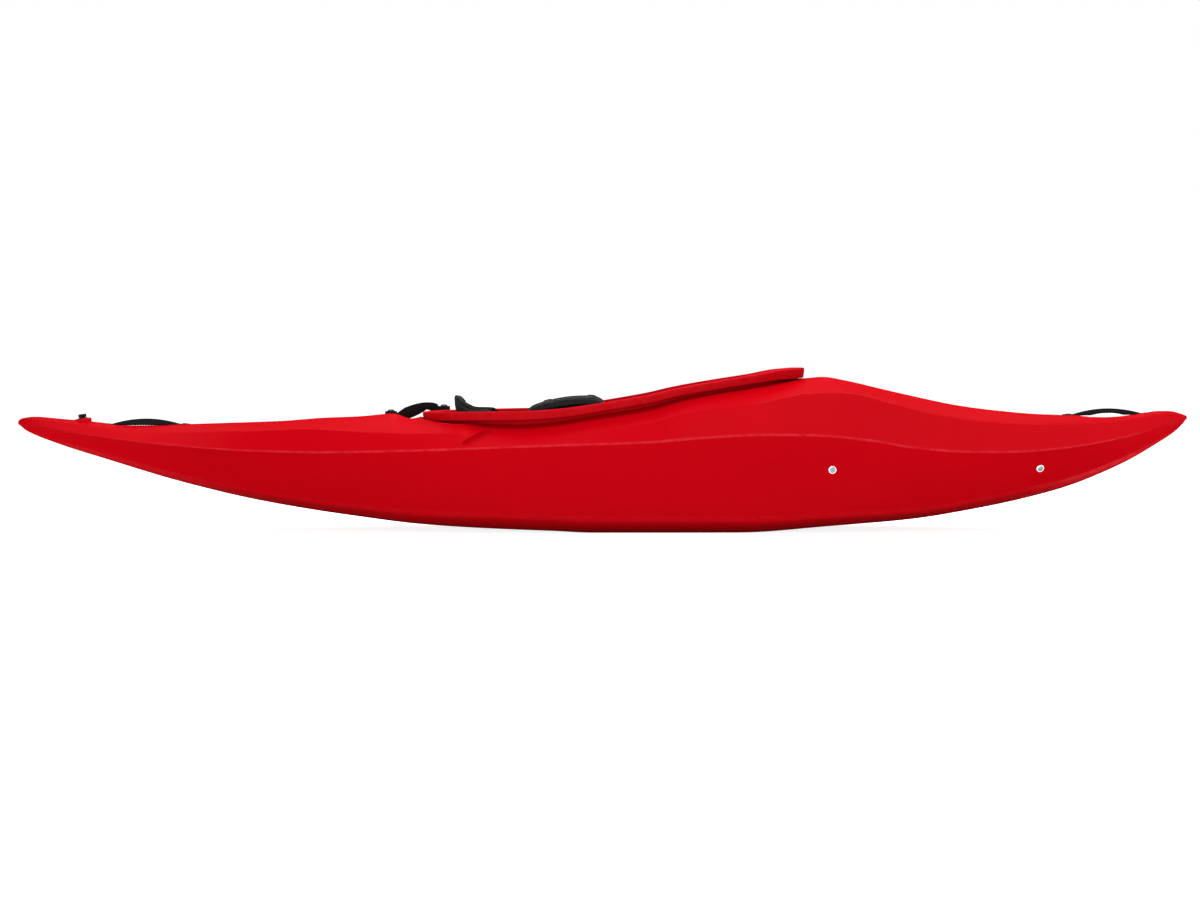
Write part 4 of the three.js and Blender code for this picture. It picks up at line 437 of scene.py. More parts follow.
def smoothLine(pairs):
    places, values = (np.array(column, float) for column in zip(*pairs))
    spans = np.diff(places)
    slopes = np.diff(values) / spans
    tangents = np.empty(len(pairs))
    tangents[0], tangents[-1] = slopes[0], slopes[-1]
    before, after = slopes[:-1], slopes[1:]
    same = before * after > 0
    tangents[1:-1] = np.where(same, 2 * before * after / np.where(same, before + after, 1), 0)

    def lineAt(place):
        at = np.clip(place, places[0], places[-1])
        i = np.clip(np.searchsorted(places, at, side="right") - 1, 0, len(spans) - 1)
        t = (at - places[i]) / spans[i]
        rest = 1 - t
        return (values[i] * (1 + 2 * t) * rest ** 2 + tangents[i] * spans[i] * t * rest ** 2
                + values[i + 1] * t ** 2 * (3 - 2 * t) - tangents[i + 1] * spans[i] * t ** 2 * rest)
    return lineAt


# a hull line, averaged over a short way fore and aft, less so near the ends
def hullLine(name):
    line = smoothLine(hullPoints[name])
    taps = np.linspace(-2, 2, 9)
    weights = np.exp(-taps ** 2 / 2)
    weights /= weights.sum()

    def lineAt(share):
        share = np.asarray(share, float)
        reach = hull["lineSoftness"] * np.clip(np.minimum(share, 1 - share) / hull["lineEnds"], 0, 1)
        return sum(weight * line(share + tap * reach) for tap, weight in zip(taps, weights))
    return lineAt


hullLines = {name: hullLine(name) for name in hullPoints}


# the half-section's six hull lines at some stations: keel, bilge, chine, gunwale, crease, crest
def hullCorners(shares):
    line = {name: function(shares) for name, function in hullLines.items()}
    side = hull["beam"] / 2 * line["gunwaleBreadths"]
    keel, gunwale, crease, crest = (hull["deckHeight"] * line[name + "Heights"]
                                    for name in ("keel", "gunwale", "crease", "crest"))
    bilge = keel + hull["keelVee"] * line["keelVees"]
    chine = bilge + hull["chineRise"] * line["chineRises"]
    places = ((0 * side, keel), (side * line["bottomBreadths"], bilge), (side * line["chineBreadths"], chine),
              (side, gunwale), (side * line["creaseBreadths"], crease), (0 * side, crest))
    return [np.stack(place, -1) for place in places]


# a quadratic curve between two points, drawn towards a third
def curve(start, pull, end, u):
    return start * (1 - u) ** 2 + 2 * pull * u * (1 - u) + end * u ** 2


# the half-section at a place along the hull
def halfAt(x):
    return hullSections(np.array([x / hull["length"] + 0.5]))[0]


def alongHull(share):
    return (share - 0.5) * hull["length"]


def roundTurns(count, shift=0.0):
    return (np.arange(count) + shift) / count * 2 * math.pi


# half-sections with rounded corners, from the keel round the port side to the crest
def hullSections(shares):
    corners, parts = hullCorners(shares), hull["panelParts"]
    t = np.linspace(0, 1, parts + 1)[None, :, None]
    panels = []
    for start, end, pull in zip(corners, corners[1:], hull["pulls"]):
        middle = start + (end - start) * np.array(pull)
        panels.append(curve(start[:, None], middle[:, None], end[:, None], t))
    halves = []
    for station in range(len(shares)):
        dense = np.concatenate([panels[0][station]] + [panel[station][1:] for panel in panels[1:]])
        reach = np.concatenate([[0], np.cumsum(np.linalg.norm(np.diff(dense, axis=0), axis=1))])
        at = reach[::parts]
        spans = np.diff(at)
        room = np.minimum(np.append(spans, spans[-1]), np.insert(spans, 0, spans[0]))
        radii = np.minimum(hull["cornerRadii"], hull["cornerRoom"] * room)
        spot = lambda d: np.stack([np.interp(d, reach, dense[:, 0]), np.interp(d, reach, dense[:, 1])], -1)
        mirror = np.array([-1, 1])
        points = []
        for i, steps in enumerate(hull["cornerSteps"]):
            after = spot(at[i] + radii[i]) if i < 5 else spot(at[i] - radii[i]) * mirror
            before = spot(at[i] - radii[i]) if i > 0 else spot(at[i] + radii[i]) * mirror
            low, high = (0.5, 1.0) if i == 0 else (0.0, 0.5) if i == 5 else (0.0, 1.0)
            u = np.linspace(low, high, steps + 1)[:, None]
            points.append(curve(before, spot(at[i]), after, u))
            if i < 5:
                way = np.linspace(at[i] + radii[i], at[i + 1] - radii[i + 1], hull["panelSteps"][i] + 1)[1:-1]
                points.append(spot(way))
        half = np.concatenate(points)
        half[[0, -1], 0] = 0
        halves.append(half)
    return np.array(halves)


# stations, closer together at the ends, the grab handles and the notches
def hullStations():
    share = np.linspace(0, 1, hull["stationGrid"])
    density = np.ones_like(share)
    for middle, width, extra in hull["crowding"]:
        density += extra * np.exp(-((share - middle) / width) ** 2)
    way = np.cumsum(density)
    way = (way - way[0]) / (way[-1] - way[0])
    return np.interp(np.linspace(0, 1, hull["stations"]), way, share)


# a closed mesh over rings of points, with capped ends, or run round into a hoop
def loftMesh(name, rings, hoop=False):
    count, size = rings.shape[:2]
    rows = np.arange(count if hoop else count - 1)[:, None]
    columns = np.arange(size)[None, :]
    nextRow, nextColumn = (rows + 1) % count, (columns + 1) % size
    faces = np.stack([rows * size + columns, rows * size + nextColumn,
                      nextRow * size + nextColumn, nextRow * size + columns], -1).reshape(-1, 4).tolist()
    points = rings.reshape(-1, 3).tolist()
    if not hoop:
        for row, flip in ((0, True), (count - 1, False)):
            points.append(rings[row].mean(0).tolist())
            middle = len(points) - 1
            for i in range(size):
                pair = (row * size + i, row * size + (i + 1) % size)
                faces.append((middle, pair[1], pair[0]) if flip else (middle, pair[0], pair[1]))
    mesh = newMesh(name, points, [], faces)
    turnOut(mesh)
    return mesh


# turns all faces outwards
def turnOut(mesh):
    work = bmesh.new()
    work.from_mesh(mesh)
    bmesh.ops.recalc_face_normals(work, faces=work.faces)
    if work.calc_volume(signed=True) < 0:
        bmesh.ops.reverse_faces(work, faces=work.faces)
    work.to_mesh(mesh)
    work.free()
    mesh.update()


# a piece lofted over rings of points
def lofted(name, rings, matrix=None, hoop=False):
    mesh = loftMesh(name, np.array(rings), hoop)
    if matrix:
        mesh.transform(matrix)
    return newPiece(name, mesh)


def meshFrom(work, name):
    mesh = bpy.data.meshes.new(name)
    work.to_mesh(mesh)
    work.free()
    return mesh


# makes a piece's modifiers part of its mesh
def baked(piece):
    depsgraph = bpy.context.evaluated_depsgraph_get()
    mesh = bpy.data.meshes.new_from_object(piece.evaluated_get(depsgraph))
    piece.modifiers.clear()
    piece.data = mesh
    return piece


# adds a modifier with its settings
def modifier(piece, kind, **settings):
    step = piece.modifiers.new(kind.lower(), kind)
    for name, value in settings.items():
        setattr(step, name, value)
    return step


def combine(piece, others, operation):
    for other in others:
        modifier(piece, "BOOLEAN", operation=operation, solver="MANIFOLD", object=other)
    baked(piece)
    for other in others:
        bpy.data.objects.remove(other)
    return piece


def cut(piece, *others):
    return combine(piece, others, "DIFFERENCE")


def fuse(piece, *others):
    return combine(piece, others, "UNION")


def finished(piece, material):
    piece.data.materials.clear()
    piece.data.materials.append(material)
    piece.data.polygons.foreach_set("material_index", np.zeros(len(piece.data.polygons), np.int32))


def smoothShade(mesh, angle=32):
    mesh.shade_smooth()
    mesh.set_sharp_from_angle(angle=math.radians(angle))


edgeOnset = 0.8


# how sharply the surface turns outwards at each point, kept for the wear on its edges and, on the hull, for the
# painted highlight there:
# nought up to a good part of the full angle, and one from the full angle on
def markEdges(mesh, full=50, fade=None):
    work = bmesh.new()
    work.from_mesh(mesh)
    marks = [max([edge.calc_face_angle_signed(0.0) for edge in point.link_edges if len(edge.link_faces) == 2],
                 default=0.0) for point in work.verts]
    work.free()
    attribute = mesh.attributes.get("edge") or mesh.attributes.new("edge", "FLOAT", "POINT")
    marks = np.clip((1 + edgeOnset) * np.array(marks) / math.radians(full) - edgeOnset, 0, 1)
    if fade:
        marks *= fade(pointsOf(mesh))
    attribute.data.foreach_set("value", marks.astype(np.float32))


def pointsOf(mesh, what="co"):
    points = np.empty(len(mesh.vertices) * 3)
    mesh.vertices.foreach_get(what, points)
    return points.reshape(-1, 3)


def movePoints(piece, points):
    piece.data.vertices.foreach_set("co", points.ravel())
    piece.data.update()


# gives a piece its shading, its worn edges, its finish and its body; on the hull the paler edges are also a painted
# highlight
def dressed(piece, material, body, slot, *replaced, angle=35, full=50, fade=None):
    smoothShade(piece.data, angle)
    markEdges(piece.data, full, fade)
    finished(piece, material)
    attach(piece, body)
    if replaced:
        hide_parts(*replaced)
    return piece


# rings of the whole section, with rounded tips at both ends
def hullRings(shares):
    halves = hullSections(shares)
    around = np.concatenate([halves, halves[:, -2:0:-1] * np.array([-1, 1])], 1)
    along = (shares - 0.5) * (hull["length"] - 2 * hull["tipLength"])
    rings = np.concatenate([np.broadcast_to(along[:, None, None], around.shape[:2] + (1,)), around], -1)
    tips = []
    for ring, side in ((rings[0], -1), (rings[-1], 1)):
        middle = ring.mean(0)
        turns = np.linspace(0, hull["tipTurn"] * math.pi, hull["tipRings"] + 1)[1:]
        tips.append([middle + (ring - middle) * math.cos(turn) + [side * hull["tipLength"] * math.sin(turn), 0, 0]
                     for turn in turns])
    return np.concatenate([tips[0][::-1], rings, tips[1]])


crestAt = lambda x: hull["deckHeight"] * hullLines["crestHeights"](x / hull["length"] + 0.5)

# finger scoops pressed into the deck under the grab handles
scoops = [
    {"share": 0.9316, "length": 0.14, "width": 0.096, "depth": 0.016},
    {"share": 0.1095, "length": 0.14, "width": 0.036, "depth": 0.018},
]
scoopSharpness, scoopEdge, scoopReach = 1.7, 0.004, 0.03


def pressScoops(rings):
    for scoop in scoops:
        x = alongHull(scoop["share"])
        z = float(crestAt(x))
        spread = ((rings[..., 0] - x) / (scoop["length"] / 2)) ** 2 + (rings[..., 1] / (scoop["width"] / 2)) ** 2
        floor = z - scoop["depth"] * (1 - spread ** scoopSharpness)
        near = (spread < 4) & (rings[..., 2] > z - scoopReach)
        height = rings[..., 2]
        mix = np.clip(0.5 + 0.5 * (floor - height) / scoopEdge, 0, 1)
        pressed = floor * (1 - mix) + height * mix - scoopEdge * mix * (1 - mix)
        rings[..., 2] = np.where(near, pressed, height)
    return rings


def gridNormals(rings):
    along = np.gradient(rings, axis=0)
    around = (np.roll(rings, -1, 1) - np.roll(rings, 1, 1)) / 2
    normals = np.cross(around, along)
    return normals / np.maximum(np.linalg.norm(normals, axis=-1, keepdims=True), 1e-9)


rim = {
    "rearShare": 0.346,
    "length": 0.889,
    "width": 0.492,
    "lipReach": 0.028,
    "lipHeight": 0.020,
    "lipWall": 0.006,
    "lipLean": (0.003, 0.002),
    "groove": 0.008,
    "margin": 0.005,
    "taper": 0.26,
    "squareness": 0.87,
    "tops": [
        (0, 0.765), (0.12, 0.772), (0.27, 0.778), (0.36, 0.793), (0.46, 0.825), (0.54, 0.857),
        (0.6, 0.884), (0.665, 0.921), (0.77, 0.967), (0.87, 1.006), (0.94, 1.038), (1, 1.051)],
    "lipHeights": [(0, 1), (0.35, 1), (0.5, 0.88), (0.85, 0.92), (0.97, 1.18), (1, 1.2)],
    "grooves": [(0, 0.3), (0.08, 1), (0.88, 1), (0.98, 0.1), (1, 0.1)],
    "lipRounds": (0.001, 0.004, 0.0055, 0.0022, 0.0022, 0.004, 0.004, 0.001),
    "steps": 240,
}
rimRear = alongHull(rim["rearShare"])
rimMiddle = rimRear + rim["length"] / 2
rimTopLine = smoothLine(rim["tops"])
lipLine, grooveLine = smoothLine(rim["lipHeights"]), smoothLine(rim["grooves"])


# the egg's half-breadth at a turn from the bow
def eggSide(turn):
    return np.abs(np.sin(turn)) ** rim["squareness"] * (1 - rim["taper"] * np.cos(turn))


eggWidest = eggSide(np.linspace(0, math.pi, 400)).max()


def rimPoint(turn):
    along = np.sign(np.cos(turn)) * np.abs(np.cos(turn)) ** rim["squareness"]
    across = np.sign(np.sin(turn)) * eggSide(turn) / eggWidest
    return np.stack([rimMiddle + along * rim["length"] / 2, across * rim["width"] / 2], -1)


# the rim's outline at a turn from the bow, moved in by a distance
def rimEdge(turn, inset):
    step = math.pi / 400
    run = rimPoint(turn + step) - rimPoint(turn - step)
    run /= np.linalg.norm(run, axis=-1, keepdims=True)
    return rimPoint(turn) + np.stack([-run[..., 1], run[..., 0]], -1) * inset


alongRim = lambda x: (x - rimRear) / rim["length"]
rimTopAt = lambda x: hull["deckHeight"] * rimTopLine(alongRim(x))
lipAt = lambda x: rim["lipHeight"] * lipLine(alongRim(x))
grooveAt = lambda x: rimTopAt(x) - lipAt(x) - rim["groove"] * grooveLine(alongRim(x))


# the space inside the rim's outline above a floor line
def rimSpace(name, inset, floorAt):
    steps = rim["steps"] // 2
    turns = math.pi - (np.arange(steps + 1) + 0.2) / (steps + 0.4) * math.pi
    edge = rimEdge(turns, inset)
    x, half = edge[:, 0], np.maximum(edge[:, 1], 0.003)
    floor, top = floorAt(x), np.full_like(x, 2 * hull["deckHeight"])
    corners = ((-half, floor), (half, floor), (half, top), (-half, top))
    return lofted(name, np.stack([np.stack([x, y, z], -1) for y, z in corners], 1))


# an outline of corners with each corner rounded
def roundedOutline(corners, radii, steps=4):
    corners = np.array(corners, float)
    points = []
    for i, (corner, radius) in enumerate(zip(corners, radii)):
        before, after = corners[i - 1] - corner, corners[(i + 1) % len(corners)] - corner
        reach = [min(radius, 0.48 * np.linalg.norm(way)) for way in (before, after)]
        start = corner + before / np.linalg.norm(before) * reach[0]
        end = corner + after / np.linalg.norm(after) * reach[1]
        points.append(curve(start, corner, end, np.linspace(0, 1, steps + 1)[:, None]))
    return np.concatenate(points)


# the coaming: a riser on the deck, and a lip that turns out and down from it
def coamingRing():
    turns = roundTurns(rim["steps"], 0.5)
    wall, lip, reach = hull["wall"], rim["lipWall"], rim["lipReach"]
    inner, lean = reach + wall, rim["lipLean"]
    rings = []
    for turn, edge, deck in zip(turns, rimEdge(turns, 0), deckHeights(rimEdge(turns, reach + wall / 2))):
        top = float(rimTopAt(edge[0]))
        bottom = top - float(lipAt(edge[0]))
        base = min(deck, float(grooveAt(edge[0]))) - wall * 0.75
        outline = roundedOutline(
            [(inner, base), (inner, top), (0, top), (lean[0], bottom), (lip + lean[1], bottom), (lip, top - lip),
             (reach, top - lip), (reach, base)], rim["lipRounds"])
        rings.append(np.concatenate([rimEdge(np.full(len(outline), turn), outline[:, :1]), outline[:, 1:]], 1))
    return lofted("coamingRing", rings, hoop=True)


# the deck's height under some points, from the hull's own sections
def deckHeights(spots):
    heights = []
    for x, y in spots:
        half = halfAt(x)
        deck = half[len(half) // 2:][::-1]
        heights.append(float(np.interp(abs(y), deck[:, 0], deck[:, 1])))
    return heights


# a solid turned about an axis, from a profile of radius and height that starts and ends on the axis
def turnedSolid(name, profile, matrix=Matrix(), sides=32):
    inner = profile[1:-1]
    points = [(0, 0, profile[0][1])]
    for radius, height in inner:
        points += [(radius * math.cos(turn), radius * math.sin(turn), height) for turn in roundTurns(sides)]
    points.append((0, 0, profile[-1][1]))
    faces = []
    last = len(points) - 1
    for j in range(sides):
        nextJ = (j + 1) % sides
        faces.append((0, 1 + nextJ, 1 + j))
        for i in range(len(inner) - 1):
            a, b = 1 + i * sides, 1 + (i + 1) * sides
            faces.append((a + j, a + nextJ, b + nextJ, b + j))
        top = 1 + (len(inner) - 1) * sides
        faces.append((top + j, top + nextJ, last))
    mesh = newMesh(name, points, [], faces)
    mesh.transform(matrix)
    turnOut(mesh)
    return newPiece(name, mesh)


def rodSolid(name, radius, low, high, matrix, sides=32):
    return turnedSolid(name, [(0, low), (radius, low), (radius, high), (0, high)], matrix, sides)


# turns +Z to a direction and moves to a point
def standing(point, direction):
    turn = Vector((0, 0, 1)).rotation_difference(Vector(direction).normalized())
    return Matrix.Translation(Vector(point)) @ turn.to_matrix().to_4x4()


def moved(x, y, z, pitch=0.0):
    return Matrix.Translation((x, y, z)) @ Matrix.Rotation(pitch, 4, "Y")


def boxSolid(name, size, middle, matrix=Matrix()):
    work = bmesh.new()
    bmesh.ops.create_cube(work, size=1.0)
    bmesh.ops.scale(work, vec=size, verts=work.verts)
    bmesh.ops.translate(work, vec=middle, verts=work.verts)
    bmesh.ops.transform(work, matrix=matrix, verts=work.verts)
    return newPiece(name, meshFrom(work, name))


# rings of the pressed hull and their outward directions, shared by every copy of its form
shellRings = pressScoops(hullRings(hullStations()))
shellNormals = gridNormals(shellRings)


# the hull's closed form, moved in by an inset
def hullForm(name, inset=0.0):
    if inset == 0:
        return lofted(name, shellRings)
    trim, step = hull["formTrim"], hull["formStep"]
    kept = (slice(trim, -trim, step), slice(None, None, step))
    return lofted(name, shellRings[kept] - shellNormals[kept] * inset)


# the section's row on the gunwale, where the side meets the side deck
gunwaleRow = sum(hull["cornerSteps"][:3]) + sum(hull["panelSteps"][:3]) + hull["cornerSteps"][3] // 2


# the hull's half-breadth at a height on its side, below the gunwale, or on its side deck, above it
def sideAt(x, z, above=False):
    half = halfAt(x)
    part = half[gunwaleRow:] if above else half[:gunwaleRow + 1]
    return float(np.interp(z, part[:, 1], part[:, 0]))


# the direction that the hull's side faces, on the port side
def sideFacing(x, z, step=0.004):
    slopeX, slopeZ = ((sideAt(x + a, z + b) - sideAt(x - a, z - b)) / (2 * step)
                      for a, b in ((step, 0.0), (0.0, step)))
    return Vector((-slopeX, 1.0, -slopeZ)).normalized()


def capsuleSolid(name, radius, start, end, sides=28):
    start, end = Vector(start), Vector(end)
    half = (end - start).length / 2
    turns = np.linspace(0, math.pi / 2, 7)
    low = [(radius * math.sin(turn), -half - radius * math.cos(turn)) for turn in turns]
    high = [(radius * math.cos(turn), half + radius * math.sin(turn)) for turn in turns]
    return turnedSolid(name, low + high, standing((start + end) / 2, end - start), sides)


notch = {"topShares": (0.404, 0.648), "footShares": (0.388, 0.583), "radius": 0.0125, "depth": 0.0095}


# where a notch's trough starts and ends
def notchEnds(side):
    ends = []
    for along, up in (notch["topShares"], notch["footShares"]):
        x, z = alongHull(along), up * hull["deckHeight"]
        ends.append((x, side * (sideAt(x, z, True) + notch["radius"] - notch["depth"]), z))
    return ends


# the trough pressed into each side deck beside the seat
def notchCutter(name, side, growth=0.0):
    return capsuleSolid(name, notch["radius"] + growth, *notchEnds(side))


# the shallow panel pressed into the starboard side at the stern
sternPanel = {"rear": -1.292, "front": -1.187, "top": (0.2285, 0.2095), "drop": (0.004, 0.0125),
              "nose": 0.006, "depth": 0.0009, "clear": 0.006, "steps": 26}


def panelCutter():
    rings = []
    for share in 1 - (1 - np.linspace(0, 1, sternPanel["steps"])) ** 2:
        x = sternPanel["rear"] + share * (sternPanel["front"] - sternPanel["rear"])
        top = np.interp(share, (0, 1), sternPanel["top"])
        drop = np.interp(share, (0, 0.35), sternPanel["drop"])
        ahead = min(1, (sternPanel["front"] - x) / sternPanel["nose"])
        half = max(drop / 2 * math.sqrt(1 - (1 - ahead) ** 2), 0.0004)
        heights = top - drop / 2 + half * np.linspace(-1, 1, 7)
        wall = [(x, -sideAt(x, z) + sternPanel["depth"], z) for z in heights]
        air = [(x, -sideAt(x, z) - sternPanel["clear"], z) for z in heights[::-1]]
        rings.append(wall + air)
    return lofted("panelCutter", rings)


handle = {"span": 0.182, "foot": 0.026, "width": 0.024, "sink": 0.007, "margin": 0.0015, "rise": 0.009,
          "gap": 0.038, "thickness": {"bow_handle": 0.0105, "stern_handle": 0.0152}, "footThickness": 0.0038,
          "round": 0.0022, "ribs": 9, "ribPitch": 0.0065, "ribRadius": 0.0012, "ribReach": 0.0085,
          "ribDrop": 0.0003}


def handleMatrix(x):
    rear, front = float(crestAt(x - handle["span"] / 2)), float(crestAt(x + handle["span"] / 2))
    return moved(x, 0, (rear + front) / 2, -math.atan2(front - rear, handle["span"]))


handlePlaces = {"bow_handle": handleMatrix(alongHull(scoops[0]["share"])),
                "stern_handle": handleMatrix(alongHull(scoops[1]["share"]))}

drain = {"share": 0.0552, "tilt": 8.0, "bossRadius": 0.020, "bossHeight": 0.003, "bossDepth": 0.012,
         "bossRounds": (0.0018, 0.0006), "bushRadius": 0.010, "flangeRadius": 0.014, "flange": 0.0012,
         "bore": 0.007, "depth": 0.014,
         "knobRadius": 0.0095, "knobHeight": 0.0075, "knobSlot": (0.013, 0.0022, 0.0034), "lobes": 6,
         "lobeDepth": 0.0012, "stemRadius": 0.0066, "stemTip": 0.0056, "stemLength": 0.011,
         "sealRadius": 0.0105, "sealThickness": 0.0012, "gap": 0.0003}
drainX = alongHull(drain["share"])
drainMatrix = moved(drainX, 0, float(crestAt(drainX)) + drain["bossHeight"], -math.radians(drain["tilt"]))

brace = {"setback": 0.239, "length": 0.192, "width": 0.104, "wall": 0.005, "corner": 0.010, "travel": 0.020,
         "gap": 0.002, "lipDrop": 0.014, "bossRadius": 0.009, "bossOverlap": 0.002, "boltSpacing": 0.084,
         "foot": 0.642, "boltShare": 0.698, "slotHeight": 0.0034, "padThickness": 0.020, "padInset": 0.006,
         "rounds": (0.0014, 0.008, 0.008, 0.03, 0.0018, 0.0018, 0.03, 0.006, 0.006, 0.0014),
         "crests": [(0, 0.742), (0.155, 0.767), (0.44, 0.802), (0.6, 0.812), (0.73, 0.814), (0.866, 0.81),
                    (0.955, 0.79), (1, 0.768)]}
fitGap = 0.0003


# the rim riser's inner face at a place along the hull, as a distance from the middle
def riserAt(x):
    edge = rimEdge(np.linspace(0.001, math.pi - 0.001, 2000), rim["lipReach"] + hull["wall"])
    return float(np.interp(x, edge[::-1, 0], edge[::-1, 1]))


braceRear = rimRear + brace["setback"]
braceOuter = min(riserAt(braceRear - brace["travel"]),
                 riserAt(braceRear + brace["length"] + brace["travel"])) - brace["gap"]
braceBoltHeight = hull["deckHeight"] * brace["boltShare"]
braceBolts = [braceRear + brace["length"] / 2 + end * brace["boltSpacing"] / 2 for end in (-1, 1)]


# the posts that hang from the rim's riser and hold the thigh braces' bolts
def braceBosses():
    posts = []
    start, radius = braceOuter + fitGap, brace["bossRadius"]
    for side in (-1, 1):
        for x in braceBolts:
            reach = riserAt(x) + brace["bossOverlap"] - start
            hang = float(grooveAt(x)) + radius - braceBoltHeight
            place = standing((x, side * start, braceBoltHeight), (0, side, 0))
            post = rodSolid("bracePost", radius, 0, reach, place)
            plate = boxSolid("bracePlate", (2 * radius, reach, hang),
                             (x, side * (start + reach / 2), braceBoltHeight + hang / 2))
            posts.append(fuse(post, plate))
    return posts


def hullShell():
    wall = hull["wall"]
    shell, hollow = hullForm("hullShell"), hullForm("hollow", wall)
    size = (handle["span"] + handle["foot"] + 2 * handle["margin"], handle["width"] + 2 * handle["margin"], 0.1)
    slots = [boxSolid("slot", size, (0, 0, size[2] / 2 - handle["sink"]), place) for place in handlePlaces.values()]
    bossRim, bossFoot = drain["bossRadius"], -drain["bossDepth"] - drain["bossHeight"]
    wide, fine = drain["bossRounds"]
    boss = turnedSolid("drainBoss", [(0, bossFoot), (bossRim, bossFoot), (bossRim, -wide), (bossRim - fine, -fine),
                                     (bossRim - wide, 0), (0, 0)], drainMatrix, 48)
    fuse(shell, boss)
    cut(shell, rimSpace("grooveSpace", -rim["margin"], grooveAt))
    roof = rimSpace("grooveRoof", -rim["margin"] - wall, lambda x: grooveAt(x) - wall)
    cut(hollow, roof, *(notchCutter("notchWall", side, wall * 0.8) for side in (-1, 1)))
    cut(shell, hollow)
    cut(shell, *(notchCutter("notchCut", side) for side in (-1, 1)), panelCutter())
    mouth = rimSpace("mouthSpace", rim["lipReach"] + wall / 2, lambda x: np.full_like(x, hull["deckHeight"] / 2))
    bore = rodSolid("drainBore", drain["bushRadius"] + fitGap, -0.03, 0.003, drainMatrix)
    cut(shell, mouth, bore, *slots)
    return fuse(shell, coamingRing(), *braceBosses())


wearAndSheenFade = {"bottom": 0.09, "bottomRise": 0.04, "bottomLeast": 0.15, "tip": 1.3, "tipRun": 0.1, "tipLeast": 0.2,
            "behindRim": ((0.1, 0.22), (0.35, 1)), "rim": 0.3, "notch": 0.1, "notchReach": 1.6}


# the hull's paler edges are wear and also a painted highlight along the gunwale, the creases and the crest; less of
# them on the coaming, across the deck behind it, below the chine, at the tips and round the notches
def hullWearAndSheen(points):
    x, y, z = points.T
    edge = rimEdge(np.linspace(math.pi, 0, 200), -0.002)
    inRim = np.abs(y) < np.interp(x, edge[:, 0], edge[:, 1], 0, 0)
    low = np.clip((z - wearAndSheenFade["bottom"]) / wearAndSheenFade["bottomRise"], wearAndSheenFade["bottomLeast"], 1)
    ends = np.clip((wearAndSheenFade["tip"] - np.abs(x)) / wearAndSheenFade["tipRun"], wearAndSheenFade["tipLeast"], 1)
    behind = np.where(x < edge[0, 0], np.interp(np.abs(y), *wearAndSheenFade["behindRim"]), 1)
    top, foot = np.array(notchEnds(1))
    fromTop = np.stack([x, np.abs(y), z], -1) - top
    share = np.clip(fromTop @ (foot - top) / np.dot(foot - top, foot - top), 0, 1)
    gap = np.linalg.norm(fromTop - share[:, None] * (foot - top), axis=1)
    atNotch = gap < notch["radius"] * wearAndSheenFade["notchReach"]
    return low * ends * behind * np.where(inRim, wearAndSheenFade["rim"], 1) * np.where(atNotch, wearAndSheenFade["notch"], 1)


hullPiece = dressed(hullShell(), hullRed, "hull", "hull", "hull_shell", angle=32, full=9, fade=hullWearAndSheen)
print("hull triangles", sum(len(face.vertices) - 2 for face in hullPiece.data.polygons))
print("deck fittings")


# a closed outline in X and Z, given a width across and rounded edges
def plateAcross(name, outline, width, edge, segments):
    work = bmesh.new()
    near = [work.verts.new((x, -width / 2, z)) for x, z in outline]
    far = [work.verts.new((x, width / 2, z)) for x, z in outline]
    work.faces.new(near)
    work.faces.new(far[::-1])
    for i in range(len(outline)):
        j = (i + 1) % len(outline)
        work.faces.new((near[i], far[i], far[j], near[j]))
    bmesh.ops.recalc_face_normals(work, faces=work.faces)
    piece = newPiece(name, meshFrom(work, name))
    modifier(piece, "BEVEL", width=edge, segments=segments, limit_method="ANGLE", angle_limit=math.radians(50))
    turnOut(baked(piece).data)
    return piece


def bezier(start, pull, end, steps=12):
    start, pull, end = (np.array(point, float) for point in (start, pull, end))
    return curve(start, pull, end, np.linspace(0, 1, steps + 1)[:, None]).tolist()


# several solids joined into one mesh
def joined(name, pieces):
    work = bmesh.new()
    for piece in pieces:
        work.from_mesh(piece.data)
        bpy.data.objects.remove(piece)
    return newPiece(name, meshFrom(work, name))


# a moulded strap on two feet, arched clear of the scoop, with grip ribs under the fingers
def grabHandle(name, place):
    half, foot, gap, rise = handle["span"] / 2, handle["foot"] / 2, handle["gap"], handle["rise"]
    base = fitGap - handle["sink"]
    top, under = base + handle["footThickness"], rise - handle["thickness"][name]
    inner = half - foot
    outline = ([(-half - foot, base), (-gap, base)] + bezier((-gap, base), (-gap / 2, under), (0, under))[1:]
               + bezier((0, under), (gap / 2, under), (gap, base))[1:]
               + [(half + foot, base), (half + foot, top), (inner, top)]
               + bezier((inner, top), (inner / 2, rise), (0, rise))[1:]
               + bezier((0, rise), (-inner / 2, rise), (-inner, top))[1:]
               + [(-half - foot, top)])
    piece = plateAcross(name, outline, handle["width"], handle["round"], 4)
    ribs, reach, height = [], handle["ribReach"], under + handle["ribDrop"]
    for i in range(handle["ribs"]):
        x = (i - (handle["ribs"] - 1) / 2) * handle["ribPitch"]
        ribs.append(capsuleSolid("rib", handle["ribRadius"], (x, -reach, height), (x, reach, height), 10))
    fuse(piece, *ribs)
    piece.data.transform(place)
    return dressed(piece, fittingBlack, "hull", "handle", name)


for name, place in handlePlaces.items():
    grabHandle(name, place)

bar = {"span": 0.126, "aft": 0.020, "offset": 0.205, "width": 0.020, "thickness": 0.017, "rearHeight": 0.037,
       "rearDip": 0.032, "peakAhead": 0.022, "peak": 0.058, "frontHeight": 0.049, "foot": 0.028, "depth": 0.040,
       "edge": 0.0045}
barX = rimRear - bar["aft"]
barBase = deckHeights([(barX, bar["offset"])])[0]


